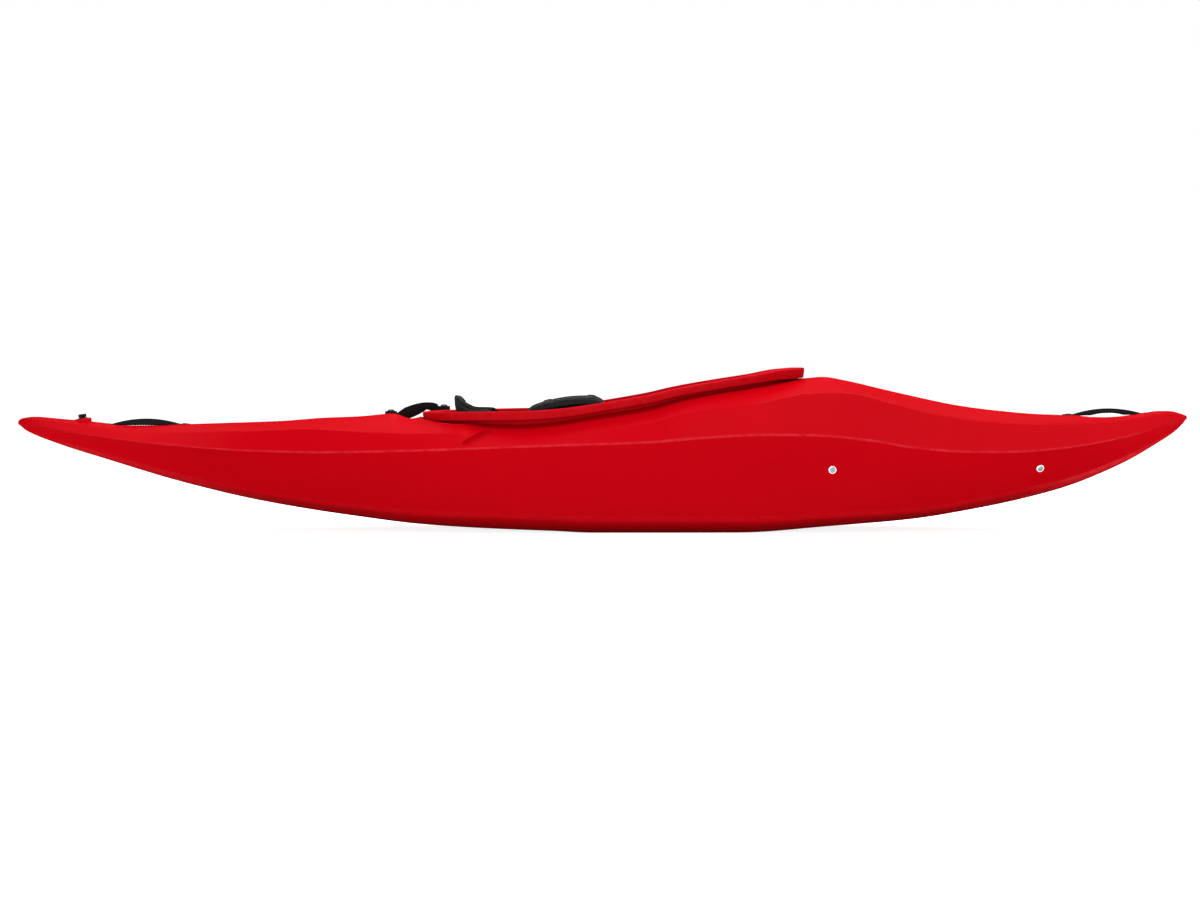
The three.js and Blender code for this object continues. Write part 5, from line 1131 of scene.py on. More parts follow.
# the bar that a lock passes round, on the port side of the rear deck
def securityBar():
    rear, front, foot, depth = -bar["span"] / 2, bar["span"] / 2, bar["foot"] / 2, bar["depth"]
    under, dip, peak = bar["peak"] - bar["thickness"], bar["rearDip"], (bar["peakAhead"], bar["peak"])
    halfWay, end = (rear / 2, (bar["peak"] + dip) / 2), bar["frontHeight"]
    outline = ([(rear - foot, -depth), (rear + foot, -depth)]
               + bezier((rear + foot, dip - bar["thickness"]), (-foot, dip - bar["thickness"]), (peak[0], under))
               + [(front - foot, end - bar["thickness"]), (front - foot, -depth), (front + foot, -depth),
                  (front + foot, end), (front - foot, end)]
               + bezier((front - foot, end), (front - foot, bar["peak"]), peak, 8)[1:]
               + bezier(peak, (0, bar["peak"]), halfWay, 8)[1:]
               + bezier(halfWay, (rear + foot, dip), (rear + foot, dip + 0.0005), 8)[1:]
               + [(rear + foot, bar["rearHeight"]), (rear - foot, bar["rearHeight"])])
    piece = plateAcross("securityBar", outline, bar["width"], bar["edge"], 4)
    piece.data.transform(Matrix.Translation((barX, bar["offset"], barBase)))
    cut(piece, hullForm("deckUnderBar"))
    return dressed(piece, barBlack, "hull", "security_bar", "security_bar")


securityBar()


# a knob whose rim swells in and out between its lobes, with rounded edges and a slot across its face
def lobedKnob(name, radius, height, lobes, lobeDepth, base, matrix, slot):
    turns = roundTurns(lobes * 14)
    reach = radius - lobeDepth * (1 - np.cos(lobes * turns)) / 2
    edge = min(0.0016, height / 4)
    levels = [(0, -0.0012), (edge * 0.3, -0.0004), (edge, 0), (height - edge, 0), (height - edge * 0.3, -0.0004),
              (height, -0.0014)]
    rings = [np.stack([(reach + inset) * np.cos(turns), (reach + inset) * np.sin(turns),
                       np.full_like(turns, base + level)], -1) for level, inset in levels]
    return cut(lofted(name, rings, matrix), boxSolid("slot", slot, (0, 0, base + height), matrix))


# a turned ring: a closed outline of radius and height
def turnedRing(name, outline, matrix, sides=48):
    rings = [[(radius * math.cos(turn), radius * math.sin(turn), height) for radius, height in outline]
             for turn in roundTurns(sides)]
    return lofted(name, rings, matrix, hoop=True)


# the bush, its seal and the lobed plug, one above the other
def drainParts():
    gap, flange = drain["gap"], drain["flange"]
    bore, bush, wide = drain["bore"], drain["bushRadius"], drain["flangeRadius"]
    foot = flange - drain["depth"]
    ring = [(bore, foot), (bush, foot), (bush, gap), (wide, gap), (wide, flange * 0.7), (wide - 0.0006, flange),
            (bore + 0.0005, flange), (bore, flange - 0.0005)]
    dressed(turnedRing("drainBush", ring, drainMatrix), fittingBlack, "hull", "fitting", "drain_bush")
    base, thick = flange + gap, drain["sealThickness"]
    inner, outer, mid = drain["stemRadius"] + gap, drain["sealRadius"], thick / 2
    ring = [(inner, base), (outer - mid, base), (outer - 0.0002, base + mid * 0.5), (outer, base + mid),
            (outer - 0.0002, base + mid * 1.5), (outer - mid, base + thick), (inner, base + thick)]
    dressed(turnedRing("drainSeal", ring, drainMatrix), rubberBlack, "hull", "seal", "drain_seal")
    base += thick + gap
    plug = lobedKnob("drainPlug", drain["knobRadius"], drain["knobHeight"], drain["lobes"], drain["lobeDepth"],
                     base, drainMatrix, drain["knobSlot"])
    radius, end, top = drain["stemRadius"], base - drain["stemLength"], base + 0.002
    profile = [(0, end), (drain["stemTip"], end), (radius, end + 0.001), (radius, top), (0, top)]
    fuse(plug, turnedSolid("plugStem", profile, drainMatrix, 40))
    dressed(plug, fittingBlack, "drain_plug", "fitting", "drain_plug")


drainParts()

print("fasteners")


# a geometry-node tree's start: it and its inputs' and outputs' sockets
def treeStart(name, inputs, output):
    tree = bpy.data.node_groups.new(name, "GeometryNodeTree")
    for label, kind in inputs.items():
        tree.interface.new_socket(name=label, in_out="INPUT", socket_type="NodeSocket" + kind)
    tree.interface.new_socket(name=output, in_out="OUTPUT", socket_type="NodeSocketGeometry")
    return tree, tree.nodes.new("NodeGroupInput").outputs, tree.nodes.new("NodeGroupOutput").inputs


# copies of a part on points, made solid and given their finish
def placedCopies(tree, points, part, turn, finish, **size):
    copies = newNode(tree, "GeometryNodeInstanceOnPoints", {
        "Points": points, "Instance": part, "Rotation": turn, **size})
    solid = newNode(tree, "GeometryNodeRealizeInstances", {0: copies.outputs[0]})
    return newNode(tree, "GeometryNodeSetMaterial", {"Geometry": solid.outputs[0], "Material": finish}).outputs[0]


def combined(tree, values):
    return newNode(tree, "ShaderNodeCombineXYZ", values).outputs[0]


# geometry nodes: a fastener on every point, turned to its facing, with a shank of its own length
def fastenerTree():
    tree, way, out = treeStart("fastenerRow", {
        "Points": "Geometry", "Head": "Object", "Head Radius": "Float", "Head Height": "Float",
        "Shank Radius": "Float", "Shank Length": "Float", "Shank Start": "Float", "Turn Seed": "Int",
        "Finish": "Material"}, "Fasteners")
    head = newNode(tree, "GeometryNodeObjectInfo", {"Object": way["Head"]}).outputs["Geometry"]
    size = combined(tree, {"X": way["Head Radius"], "Y": way["Head Radius"], "Z": way["Head Height"]})
    sized = newNode(tree, "GeometryNodeTransform", {"Geometry": head, "Scale": size})
    shank = newNode(tree, "GeometryNodeMeshCylinder", {
        "Vertices": 20, "Radius": way["Shank Radius"], "Depth": way["Shank Length"]}).outputs["Mesh"]
    drop = combined(tree, {"Z": sumNode(tree, "MULTIPLY_ADD", way["Shank Length"], -0.5, way["Shank Start"])})
    lowered = newNode(tree, "GeometryNodeTransform", {"Geometry": shank, "Translation": drop})
    both = newNode(tree, "GeometryNodeJoinGeometry", {0: sized.outputs[0]})
    tree.links.new(lowered.outputs[0], both.inputs[0])

    facing = newNode(tree, "GeometryNodeInputNamedAttribute", {"Name": "facing"}, data_type="FLOAT_VECTOR")
    aimed = newNode(tree, "FunctionNodeAlignRotationToVector", {"Vector": facing.outputs["Attribute"]}, axis="Z")
    chance = newNode(tree, "FunctionNodeRandomValue", {3: 2 * math.pi, "Seed": way["Turn Seed"]})
    spin = newNode(tree, "FunctionNodeAxisAngleToRotation", {"Axis": (0, 0, 1), "Angle": chance.outputs[1]})
    turned = newNode(tree, "FunctionNodeRotateRotation", {
        "Rotation": aimed.outputs[0], "Rotate By": spin.outputs[0]}, rotation_space="LOCAL")
    feed(tree, out, {"Fasteners": placedCopies(tree, way["Points"], both.outputs[0], turned.outputs[0],
                                               way["Finish"])})
    return tree


# runs a node tree over a piece, with values for the tree's inputs
def runTree(piece, tree, values):
    step = modifier(piece, "NODES", node_group=tree)
    for item in tree.interface.items_tree:
        if item.item_type == "SOCKET" and item.in_out == "INPUT" and item.name in values:
            step[item.identifier] = values[item.name]
    return baked(piece)


fastenerNodes = fastenerTree()


# a fastener's head at a radius and height of one, with a hexagonal socket
def headTemplate(name, profile, socket=0.38, floor=0.35):
    head = turnedSolid(name, profile, sides=40)
    if socket:
        cut(head, rodSolid("socket", socket, floor, 2.0, Matrix(), 6))
    return head


domeHead = headTemplate("domeHead", [(0, 0), (0.97, 0), (1, 0.06), (1, 0.3), (0.95, 0.55), (0.82, 0.78),
                                     (0.62, 0.94), (0.42, 1.0), (0, 1.0)])
cupHead = headTemplate("cupHead", [(0, 0.4), (0.46, 0.43), (0.97, 0.76), (1, 0.8), (0.95, 0.88), (0.7, 0.97),
                                   (0.45, 1.0), (0, 1.0)], 0.36, 0.5)
rivetHead = headTemplate("rivetHead", [(0, 0), (0.98, 0), (1, 0.1), (0.96, 0.4), (0.8, 0.72), (0.5, 0.94),
                                       (0.2, 1.0), (0, 1.0)], None)
washerRing = turnedRing("washerRing", [(0.33, 0), (0.99, 0), (1, 0.06), (0.99, 0.18), (0.94, 0.42), (0.84, 0.86),
                                       (0.78, 0.98), (0.73, 1.0), (0.69, 0.93), (0.33, 0.4)], Matrix())


# fasteners on rows of points and facings; sizes: head radius and height, shank radius, start and length
def fastenerRow(name, rows, head, sizes, finish, body, slot, replaced, seed=3):
    piece = newPiece(name, newMesh(name, [tuple(point) for point, facing in rows], [], []))
    facings = piece.data.attributes.new("facing", "FLOAT_VECTOR", "POINT")
    facings.data.foreach_set("vector", np.array([tuple(facing) for point, facing in rows], np.float32).ravel())
    keys = ("Head Radius", "Head Height", "Shank Radius", "Shank Start", "Shank Length")
    runTree(piece, fastenerNodes, {**dict(zip(keys, sizes)), "Head": head, "Finish": finish, "Turn Seed": seed})
    return dressed(piece, finish, body, slot, *replaced, full=70)


bothSides = ((1, "port"), (-1, "starboard"))
bothEnds = ((-1, "aft"), (1, "fore"))
upward = Vector((0, 0, 1))
boltSizes = (0.0065, 0.0036, 0.003, 0.0005)   # head radius and height, shank radius and start

rows, names = [], []
for name, place in handlePlaces.items():
    for end, label in bothEnds:
        head = handle["footThickness"] + 2 * fitGap - handle["sink"]
        rows.append((place @ Vector((end * handle["span"] / 2, 0, head)), place.to_3x3() @ upward))
        names.append(f"{name}_screw_{label}")
fastenerRow("handleScrews", rows, domeHead, (0.006, 0.0022, 0.0027, 0.0005, 0.015), steelBright, "hull",
            "hardware", names)

rows = [(Vector((barX + end * bar["span"] / 2, bar["offset"], barBase + bar[key] + fitGap)), upward)
        for end, key in ((-1, "rearHeight"), (1, "frontHeight"))]
fastenerRow("barBolts", rows, domeHead, (0.0085, 0.004, 0.003, 0.0005, bar["frontHeight"] + 0.012), steelDark,
            "hull", "dark_hardware", ["security_bar_bolt_aft", "security_bar_bolt_fore"])

railBolts = {"height": 0.408, "shares": (0.6915, 0.869)}
railBoltHeight = hull["deckHeight"] * railBolts["height"]
rows, names = [], []
for side, sideName in bothSides:
    for share, (end, label) in zip(railBolts["shares"], bothEnds):
        x = alongHull(share)
        facing = sideFacing(x, railBoltHeight)
        point = Vector((x, sideAt(x, railBoltHeight), railBoltHeight)) + facing * fitGap
        rows.append((Vector((point.x, side * point.y, point.z)), Vector((facing.x, side * facing.y, facing.z))))
        names.append(f"{sideName}_{label}")
# the washers take the near-white steel, a painted highlight on their domes
fastenerRow("cupWashers", rows, washerRing, (0.010, 0.003, 0.0001, 0.0005, 0.0002), washerSteelPaintedGleam, "hull",
            "hardware", ["rail_washer_" + name for name in names])
fastenerRow("cupBolts", rows, cupHead, (0.0065, 0.0042, 0.003, 0.0019, 0.029), steelBright, "hull",
            "hardware", ["rail_bolt_" + name for name in names], 11)

rows, names = [], []
for side, sideName in bothSides:
    for x, (end, label) in zip(braceBolts, bothEnds):
        rows.append((Vector((x, side * (braceOuter - brace["wall"] - fitGap), braceBoltHeight)),
                     Vector((0, -side, 0))))
        names.append(f"thigh_bolt_{sideName}_{label}")
fastenerRow("thighBolts", rows, domeHead, (*boltSizes, brace["wall"] + 0.0076), steelBright, "hull",
            "hardware", names)

print("seat")

seat = {"rear": rimRear + 0.072, "length": 0.320, "width": 0.384, "wall": 0.004, "rearHeight": 0.110,
        "earHeight": 0.2260, "sideRound": 0.046, "rimDrop": 0.008, "ridge": 0.005,
        "floors": [(0, 1), (0.12, 0.58), (0.3, 0.34), (0.45, 0.33), (0.7, 0.47), (0.88, 0.68), (1, 0.66)],
        "wings": [(0, 0.64), (0.12, 0.86), (0.22, 1), (0.32, 1), (0.42, 0.86), (0.76, 0.8), (0.88, 0.56),
                  (1, 0.42)],
        "across": (0, 0.3, 0.62, 0.86, 1), "dish": (0, 0, 0.06, 0.36, 1), "bolts": (0.28, 0.68),
        "pocketRadius": 0.0068, "pocket": 0.002, "keelWidth": 0.084, "keelInset": 0.044, "trackTop": 0.026,
        "stations": 64}
band = {"thickness": 0.016, "top": 0.3110, "bottom": 0.1680, "depth": 0.092, "pivotHeight": 0.2060,
        "pivotInset": 0.011, "tiltRoom": 0.0005, "bossRadius": 0.011, "bossReach": 0.0165}
seatFloor, seatWing = smoothLine(seat["floors"]), smoothLine(seat["wings"])
pivotX = seat["rear"] + band["thickness"] / 2 + band["depth"] - band["pivotInset"]
bandSide = seat["width"] / 2 - seat["wall"] / 2 - band["tiltRoom"] - band["bossReach"]
bandInner = bandSide - band["thickness"]
bandWidth = 2 * bandSide - band["thickness"]


# the seat's underside from its middle out to the top of its wing
def seatLine(share, steps=40):
    floor, wing = seat["rearHeight"] * float(seatFloor(share)), seat["earHeight"] * float(seatWing(share))
    side = min(seat["sideRound"], wing - seat["rimDrop"] - floor)
    across = [seat["width"] / 2 * part for part in seat["across"]] + [seat["width"] / 2]
    heights = [floor + (seat["ridge"] if i == 0 else side * part) for i, part in enumerate(seat["dish"])] + [wing]
    reach = np.insert(np.cumsum(np.hypot(np.diff(across), np.diff(heights))), 0, 0)
    at = np.linspace(0, reach[-1], steps)
    return np.stack([smoothLine(list(zip(reach, across)))(at), smoothLine(list(zip(reach, heights)))(at)], -1)


# a line moved to its left by a depth
def raisedLine(line, depth):
    run = np.gradient(line, axis=0)
    run /= np.linalg.norm(run, axis=1, keepdims=True)
    lifted = line + np.stack([-run[:, 1], run[:, 0]], -1) * depth
    lifted[0, 0] = line[0, 0]
    return lifted


# the height of the seat's upper face
def seatTopAt(share, y):
    line = raisedLine(seatLine(share), seat["wall"])
    return float(np.interp(abs(y), np.maximum.accumulate(line[:, 0]), line[:, 1]))


def alongSeat(share):
    return seat["rear"] + share * seat["length"]


def seatShare(x):
    return (x - seat["rear"]) / seat["length"]


def seatPan():
    rings = []
    for share in np.linspace(0, 1, seat["stations"]):
        under = seatLine(share)
        over = raisedLine(under, seat["wall"])
        middle, across = (under[-1] + over[-1]) / 2, (under[-1] - over[-1]) / 2
        turns = np.linspace(0, math.pi, 7)[1:-1]
        rise = np.array([-across[1], across[0]])
        cap = [middle + across * math.cos(turn) + rise * math.sin(turn) for turn in turns]
        half = np.concatenate([under, cap, over[::-1]])
        section = np.concatenate([half, half[1:-1][::-1] * [-1, 1]])
        rings.append([(alongSeat(share), y, z) for y, z in section])
    pan = lofted("seatPan", rings)
    keel, half, foot = [], seat["keelWidth"] / 2, seat["trackTop"] + fitGap
    for x in np.linspace(seat["rear"] + seat["keelInset"], seat["rear"] + seat["length"] - seat["keelInset"], 16):
        top = float(seatLine(seatShare(x))[0, 1]) + seat["wall"] / 2
        shoulder = top - seat["ridge"]
        keel.append([(x, -half, foot), (x, half, foot), (x, half, shoulder), (x, 0, top), (x, -half, shoulder)])
    posts = [lofted("seatKeel", keel)]
    radius, reach = band["bossRadius"], band["bossReach"] + 0.001
    for side in (-1, 1):
        place = standing((pivotX, side * (bandSide + band["tiltRoom"]), band["pivotHeight"]), (0, side, 0))
        profile = [(0, 0), (radius - 0.001, 0), (radius, 0.001), (radius, reach), (0, reach)]
        posts.append(turnedSolid("earBoss", profile, place, 36))
    fuse(pan, *posts)
    pockets = [rodSolid("pocket", seat["pocketRadius"], seatTopAt(share, 0) - seat["pocket"], 0.3,
                        Matrix.Translation((alongSeat(share), 0, 0))) for share in seat["bolts"]]
    cut(pan, *pockets)
    return dressed(pan, seatBlack, "seat", "seat", "seat_pan")


seatPan()
boltTops = [seatTopAt(share, 0) - seat["pocket"] + fitGap for share in seat["bolts"]]
rows = [(Vector((alongSeat(share), 0, top)), upward) for share, top in zip(seat["bolts"], boltTops)]
fastenerRow("seatBolts", rows, domeHead, (*boltSizes, min(boltTops) - seat["trackTop"] + 0.007), steelBright,
            "seat", "hardware", ["seat_bolt_aft", "seat_bolt_fore"])
strapThickness = 0.0024
strapOut = seat["width"] / 2 + fitGap + strapThickness
rows = [(Vector((pivotX, side * (bandInner - fitGap), band["pivotHeight"])), Vector((0, -side, 0)))
        for side, sideName in bothSides]
fastenerRow("bandRivets", rows, rivetHead, (0.0075, 0.003, 0.003, 0.0005, strapOut + 0.003 - bandInner),
            steelBright, "seat", "hardware", ["backband_rivet_port", "backband_rivet_starboard"])

print("padded pieces")


def evenMesh(piece, voxel):
    modifier(piece, "REMESH", mode="VOXEL", voxel_size=voxel)
    return baked(piece)


def finer(piece):
    modifier(piece, "SUBSURF", levels=1, render_levels=1)
    return baked(piece)


# a cover blown out by its filling: even mesh, cloth under pressure, and no point moves past the cap
def puffed(piece, voxel, cap, give, pressure=4.0, frames=20):
    evenMesh(piece, voxel)
    start = pointsOf(piece.data)
    cloth = modifier(piece, "CLOTH").settings
    cloth.use_pressure, cloth.uniform_pressure_force, cloth.quality = True, pressure, 5
    cloth.effector_weights.gravity = 0
    for number in range(1, frames + 1):
        scene.frame_set(number)
    depsgraph = bpy.context.evaluated_depsgraph_get()
    way = pointsOf(piece.evaluated_get(depsgraph).data) - start
    piece.modifiers.clear()
    scene.frame_set(1)
    reach = np.linalg.norm(way, axis=1, keepdims=True)
    way *= np.minimum(1, cap / np.maximum(reach, 1e-9)) * give(start)[:, None]
    movePoints(piece, start + way)
    return finer(piece)


# sewn channels: the cover is drawn in along some lines, each a function that gives the distance to it
def drawnIn(piece, lines, depth, width, where):
    points, normals = pointsOf(piece.data), pointsOf(piece.data, "normal")
    pull = np.zeros(len(points))
    for line in lines:
        pull = np.maximum(pull, np.exp(-(line(points) / width) ** 2))
    movePoints(piece, points - normals * (pull * depth * where(points, normals))[:, None])


# a closed tube round a path
def tubeAlong(name, path, radius, sides=10):
    path = np.array(path, float)
    run = np.roll(path, -1, 0) - np.roll(path, 1, 0)
    run /= np.linalg.norm(run, axis=1, keepdims=True)
    across = np.cross(run, [1.0, 0.0, 0.0])
    across /= np.maximum(np.linalg.norm(across, axis=1, keepdims=True), 1e-6)
    turns = roundTurns(sides)
    rings = (path[:, None] + across[:, None] * (radius * np.cos(turns))[None, :, None]
             + np.cross(run, across)[:, None] * (radius * np.sin(turns))[None, :, None])
    return lofted(name, rings, hoop=True)


# geometry nodes: stitches laid along the edges of a line
def stitchTree():
    tree, way, out = treeStart("stitchRow", {
        "Lines": "Geometry", "Pitch": "Float", "Stitch Length": "Float", "Thread Radius": "Float",
        "Finish": "Material"}, "Stitches")
    line = newNode(tree, "GeometryNodeMeshToCurve", {0: way["Lines"]})
    spaced = newNode(tree, "GeometryNodeResampleCurve", mode="LENGTH")
    feed(tree, spaced.inputs, {"Curve": line.outputs[0], "Length": way["Pitch"]})
    run = newNode(tree, "GeometryNodeInputTangent")
    aimed = newNode(tree, "FunctionNodeAlignRotationToVector", {"Vector": run.outputs[0]}, axis="Z")
    thread = newNode(tree, "GeometryNodeMeshUVSphere", {"Segments": 6, "Rings": 5, "Radius": 1.0})
    half = sumNode(tree, "MULTIPLY", way["Stitch Length"], 0.5)
    size = combined(tree, {"X": way["Thread Radius"], "Y": way["Thread Radius"], "Z": half})
    feed(tree, out, {"Stitches": placedCopies(tree, spaced.outputs[0], thread.outputs["Mesh"],
                                              aimed.outputs[0], way["Finish"], Scale=size)})
    return tree


stitchNodes = stitchTree()
stitchSizes = {"Pitch": 0.0042, "Stitch Length": 0.0030, "Thread Radius": 0.00045}


# stitches along some lines of points, laid on a cover
def stitches(name, lines, cover, body, lift=0.0002):
    points, edges = [], []
    for line in lines:
        spots = []
        for point in line:
            hit, spot, normal, face = cover.closest_point_on_mesh(Vector(point))
            spots.append(spot + normal * lift)
        edges += [(len(points) + i, len(points) + i + 1) for i in range(len(spots) - 1)]
        points += [tuple(spot) for spot in spots]
    piece = newPiece(name, newMesh(name, points, edges, []))
    runTree(piece, stitchNodes, {**stitchSizes, "Finish": threadGrey})
    piece.data.shade_smooth()
    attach(piece, body)


seatCushion = {"length": 0.232, "thickness": 0.013, "fullness": 0.9, "draw": 0.007, "lift": 0.0007,
               "place": 0.14, "width": 0.75,
               "across": [(0, 0.8), (0.4, 1), (0.85, 0.95), (0.96, 0.7), (1, 0.3)],
               "along": [(0, 0.4), (0.03, 0.75), (0.12, 0.95), (0.88, 0.95), (0.97, 0.75), (1, 0.4)],
               "voxel": 0.0042, "cap": 0.005, "channel": 0.046, "ring": 0.098, "channelDepth": 0.0028,
               "channelWidth": 0.0035, "hole": 0.0088, "seam": 0.0035, "seamInset": 0.022}


# how far a cover may swell at a height over its base: not at all at its foot, in full a little higher
def swellAbove(height):
    return np.clip((height - 0.003) / 0.006, 0, 1)


def upperSide(points, normals):
    return np.clip(normals[:, 2] * 2 - 0.4, 0, 1)


def seatPad():
    across, along = smoothLine(seatCushion["across"]), smoothLine(seatCushion["along"])
    span, begin = seatCushion["length"] / seat["length"], seatCushion["place"]
    rings = []
    for t in np.concatenate([[0, 0.012], np.linspace(0.03, 0.97, 34), [0.988, 1]]):
        share = begin + t * span
        half = seat["width"] / 2 * seatCushion["width"] - seatCushion["draw"] * math.sin(t * math.pi) - 0.001
        y = half * np.sin(np.linspace(-1, 1, 33) * math.pi / 2)
        under = np.array([seatTopAt(share, value) for value in y]) + seatCushion["lift"]
        over = under + seatCushion["thickness"] * across(np.abs(y) / half) * along(t) * seatCushion["fullness"]
        x = alongSeat(share)
        rings.append([(x, a, b) for a, b in zip(y, under)] + [(x, a, b) for a, b in zip(y[::-1], over[::-1])])
    pad = lofted("seatPad", rings)
    shares, y = np.linspace(begin, begin + span, 40), np.linspace(0, 0.15, 31)
    tops = np.array([[seatTopAt(share, value) for value in y] for share in shares])

    def depthOver(points):
        share = np.clip(seatShare(points[:, 0]), shares[0], shares[-1])
        i = np.clip(np.searchsorted(shares, share) - 1, 0, len(shares) - 2)
        t = (share - shares[i]) / (shares[i + 1] - shares[i])
        j = np.clip(np.abs(points[:, 1]) / y[1], 0, len(y) - 1.001)
        k, u = j.astype(int), j - j.astype(int)
        low, high = (tops[row, k] * (1 - u) + tops[row, k + 1] * u for row in (i, i + 1))
        return points[:, 2] - (low * (1 - t) + high * t)

    puffed(pad, seatCushion["voxel"], seatCushion["cap"], lambda points: swellAbove(depthOver(points)))
    rear, front, channel = alongSeat(begin), alongSeat(begin + span), seatCushion["channel"]
    middle = (rear + front) / 2
    lines = [lambda points: np.abs(points[:, 1]) - channel,
             lambda points: np.hypot(points[:, 0] - middle, points[:, 1] * 0.9) - seatCushion["ring"]]
    drawnIn(pad, lines, seatCushion["channelDepth"], seatCushion["channelWidth"], upperSide)
    holes = [rodSolid("access", seatCushion["hole"], 0, 0.3, Matrix.Translation((alongSeat(share), 0, 0)))
             for share in seat["bolts"]]
    cut(pad, *holes)
    dressed(pad, seatCloth, "seat", "pad", "seat_pad")
    rows, inset = [], seatCushion["seamInset"]
    for side in (-1, 1):
        for shift in (-seatCushion["seam"], seatCushion["seam"]):
            rows.append([(x, side * channel + shift, seatTopAt(seatShare(x), channel) + 0.02)
                         for x in np.linspace(rear + inset, front - inset, 40)])
    stitches("seatPadStitches", rows, pad, "seat")


seatPad()

bandShape = {"tops": [(0, 1.012), (0.16, 0.98), (0.34, 0.91), (0.5, 0.85), (0.65, 0.805), (0.93, 0.79), (1, 0.74)],
             "bottoms": [(0, 0), (0.5, 0.08), (1, 0.2)], "lean": 0.3, "spread": 0.92, "end": 0.6,
             "face": [(-1, 0.36), (-0.85, 0.44), (-0.3, 0.5), (0.3, 0.5), (0.8, 0.5), (0.9, 0.62), (1, 0.6)],
             "reach": 0.985, "inset": 0.0004, "voxel": 0.0045, "cap": 0.004, "piping": 0.0021,
             "channels": (0.3, 0.52, 0.74), "channelDepth": 0.0026, "channelWidth": 0.0032, "rivetRoom": 0.0084,
             "seams": (0.9, -0.88)}
bandTop, bandBottom = smoothLine(bandShape["tops"]), smoothLine(bandShape["bottoms"])
bandHeight = band["top"] - band["bottom"]


# the backband's middle line, from -1 to 1
def bandMiddle(u):
    away = abs(u)
    x = seat["rear"] + band["thickness"] / 2 + band["depth"] * away ** 2
    return np.array([x, math.copysign(bandWidth / 2 * away ** bandShape["spread"], u)])


# a point of the backband: along it, up it from -1 to 1, and out from its middle surface
def bandSpot(u, height, out=0.0, inset=0.0):
    middle = bandMiddle(u)
    ahead, behind = bandMiddle(min(u + 0.01, 1)), bandMiddle(max(u - 0.01, -1))
    run = (ahead - behind) / np.linalg.norm(ahead - behind)
    low = band["bottom"] + bandHeight * float(bandBottom(abs(u))) + inset
    high = band["bottom"] + bandHeight * float(bandTop(abs(u))) - inset
    z = (low + high) / 2 + (high - low) / 2 * height
    lean = bandShape["lean"] * (band["top"] - z) * (1 - abs(u))
    return (middle[0] + lean - run[1] * out, middle[1] + run[0] * out, z)


def backband():
    face, inset, piping = smoothLine(bandShape["face"]), bandShape["inset"], bandShape["piping"]
    heights = np.linspace(-1, 1, 31)
    rings = []
    for u in np.sin(np.linspace(-1, 1, 81) * math.pi / 2) * bandShape["reach"]:
        swell = bandShape["end"] + (1 - bandShape["end"]) * min(1, (1 - abs(u)) / 0.06)
        edge = 1 - np.abs(heights)
        outs = (face(heights) * swell + edge / 40) * band["thickness"] - 0.0012 * edge
        front, back = ([bandSpot(u, height, way * out, inset) for height, out in zip(heights, outs)]
                       for way in (-1, 1))
        rings.append(front + back[::-1])
    pad = lofted("backbandPad", rings)
    end = np.array([pivotX, bandInner + band["thickness"] / 2, band["pivotHeight"]])

    def give(points):
        gap = np.hypot(points[:, 0] - end[0], np.hypot(np.abs(points[:, 1]) - end[1], points[:, 2] - end[2]))
        return np.clip((gap - 0.014) / 0.03, 0, 1)

    puffed(pad, bandShape["voxel"], bandShape["cap"], give)
    share = lambda points: (points[:, 2] - band["bottom"]) / bandHeight
    bend = lambda points: 0.86 + 0.14 * np.exp(-(points[:, 1] / 0.07) ** 2)
    lines = [lambda points, at=at: (share(points) - at * bend(points)) * bandHeight
             for at in bandShape["channels"]]
    drawnIn(pad, lines, bandShape["channelDepth"], bandShape["channelWidth"], lambda points, normals: give(points))
    holes = [rodSolid("rivetRoom", bandShape["rivetRoom"], 0, 0.02,
                      standing((pivotX, side * bandInner, band["pivotHeight"]), (0, -side, 0))) for side in (-1, 1)]
    cut(pad, *holes)
    dressed(pad, seatCloth, "backband", "pad", "backband")
    path = []
    for way in (1, -1):
        path += [bandSpot(u, way, 0, piping) for u in way * np.linspace(-bandShape["reach"], bandShape["reach"], 90)]
        path += [bandSpot(way * bandShape["reach"], height, 0, piping) for height in way * np.linspace(0.9, -0.9, 12)]
    dressed(tubeAlong("backbandPiping", path, piping), bindingBlack, "backband", "pad", angle=60)
    rows = [[bandSpot(u, at, side * 0.012) for u in np.linspace(-0.9, 0.9, 90)]
            for at in bandShape["seams"] for side in (-1, 1)]
    stitches("backbandStitches", rows, pad, "backband")


backband()

hip = {"place": 0.52, "length": 0.120, "height": 0.084, "thickness": 0.024, "rise": 0.132,
       "crown": [(0, 0.93), (0.12, 0.985), (0.3, 1), (0.6, 0.985), (0.8, 0.93), (0.93, 0.82), (1, 0.68)]}


# a block of foam with a squarish round outline and a crowned face, that stands out from a middle point
def foamPad(name, middle, along, rise, out, length, height, thickness, crown, body, replaced):
    line = smoothLine(crown)
    turns = roundTurns(72, 0.5)
    a, b = (np.sign(way) * np.sqrt(np.abs(way)) for way in (np.cos(turns), np.sin(turns)))
    along, rise, out, middle = (np.array(way, float) for way in (along, rise, out, middle))
    levels = np.concatenate([np.linspace(0, 0.9, 16), 1 - 0.1 * np.cos(np.linspace(0, 1, 7)[1:] * math.pi / 2)])
    steps = [(float(line(depth)), depth) for depth in levels] + [(0.5, 1.02), (0.3, 1.035), (0.12, 1.042)]
    rings = [middle + out * depth * thickness + np.outer(a * size * length / 2, along)
             + np.outer(b * size * height / 2, rise) for size, depth in steps]
    pad = finer(evenMesh(lofted(name, rings), 0.0032))
    return dressed(pad, foamGrey, body, "foam", replaced, angle=70)


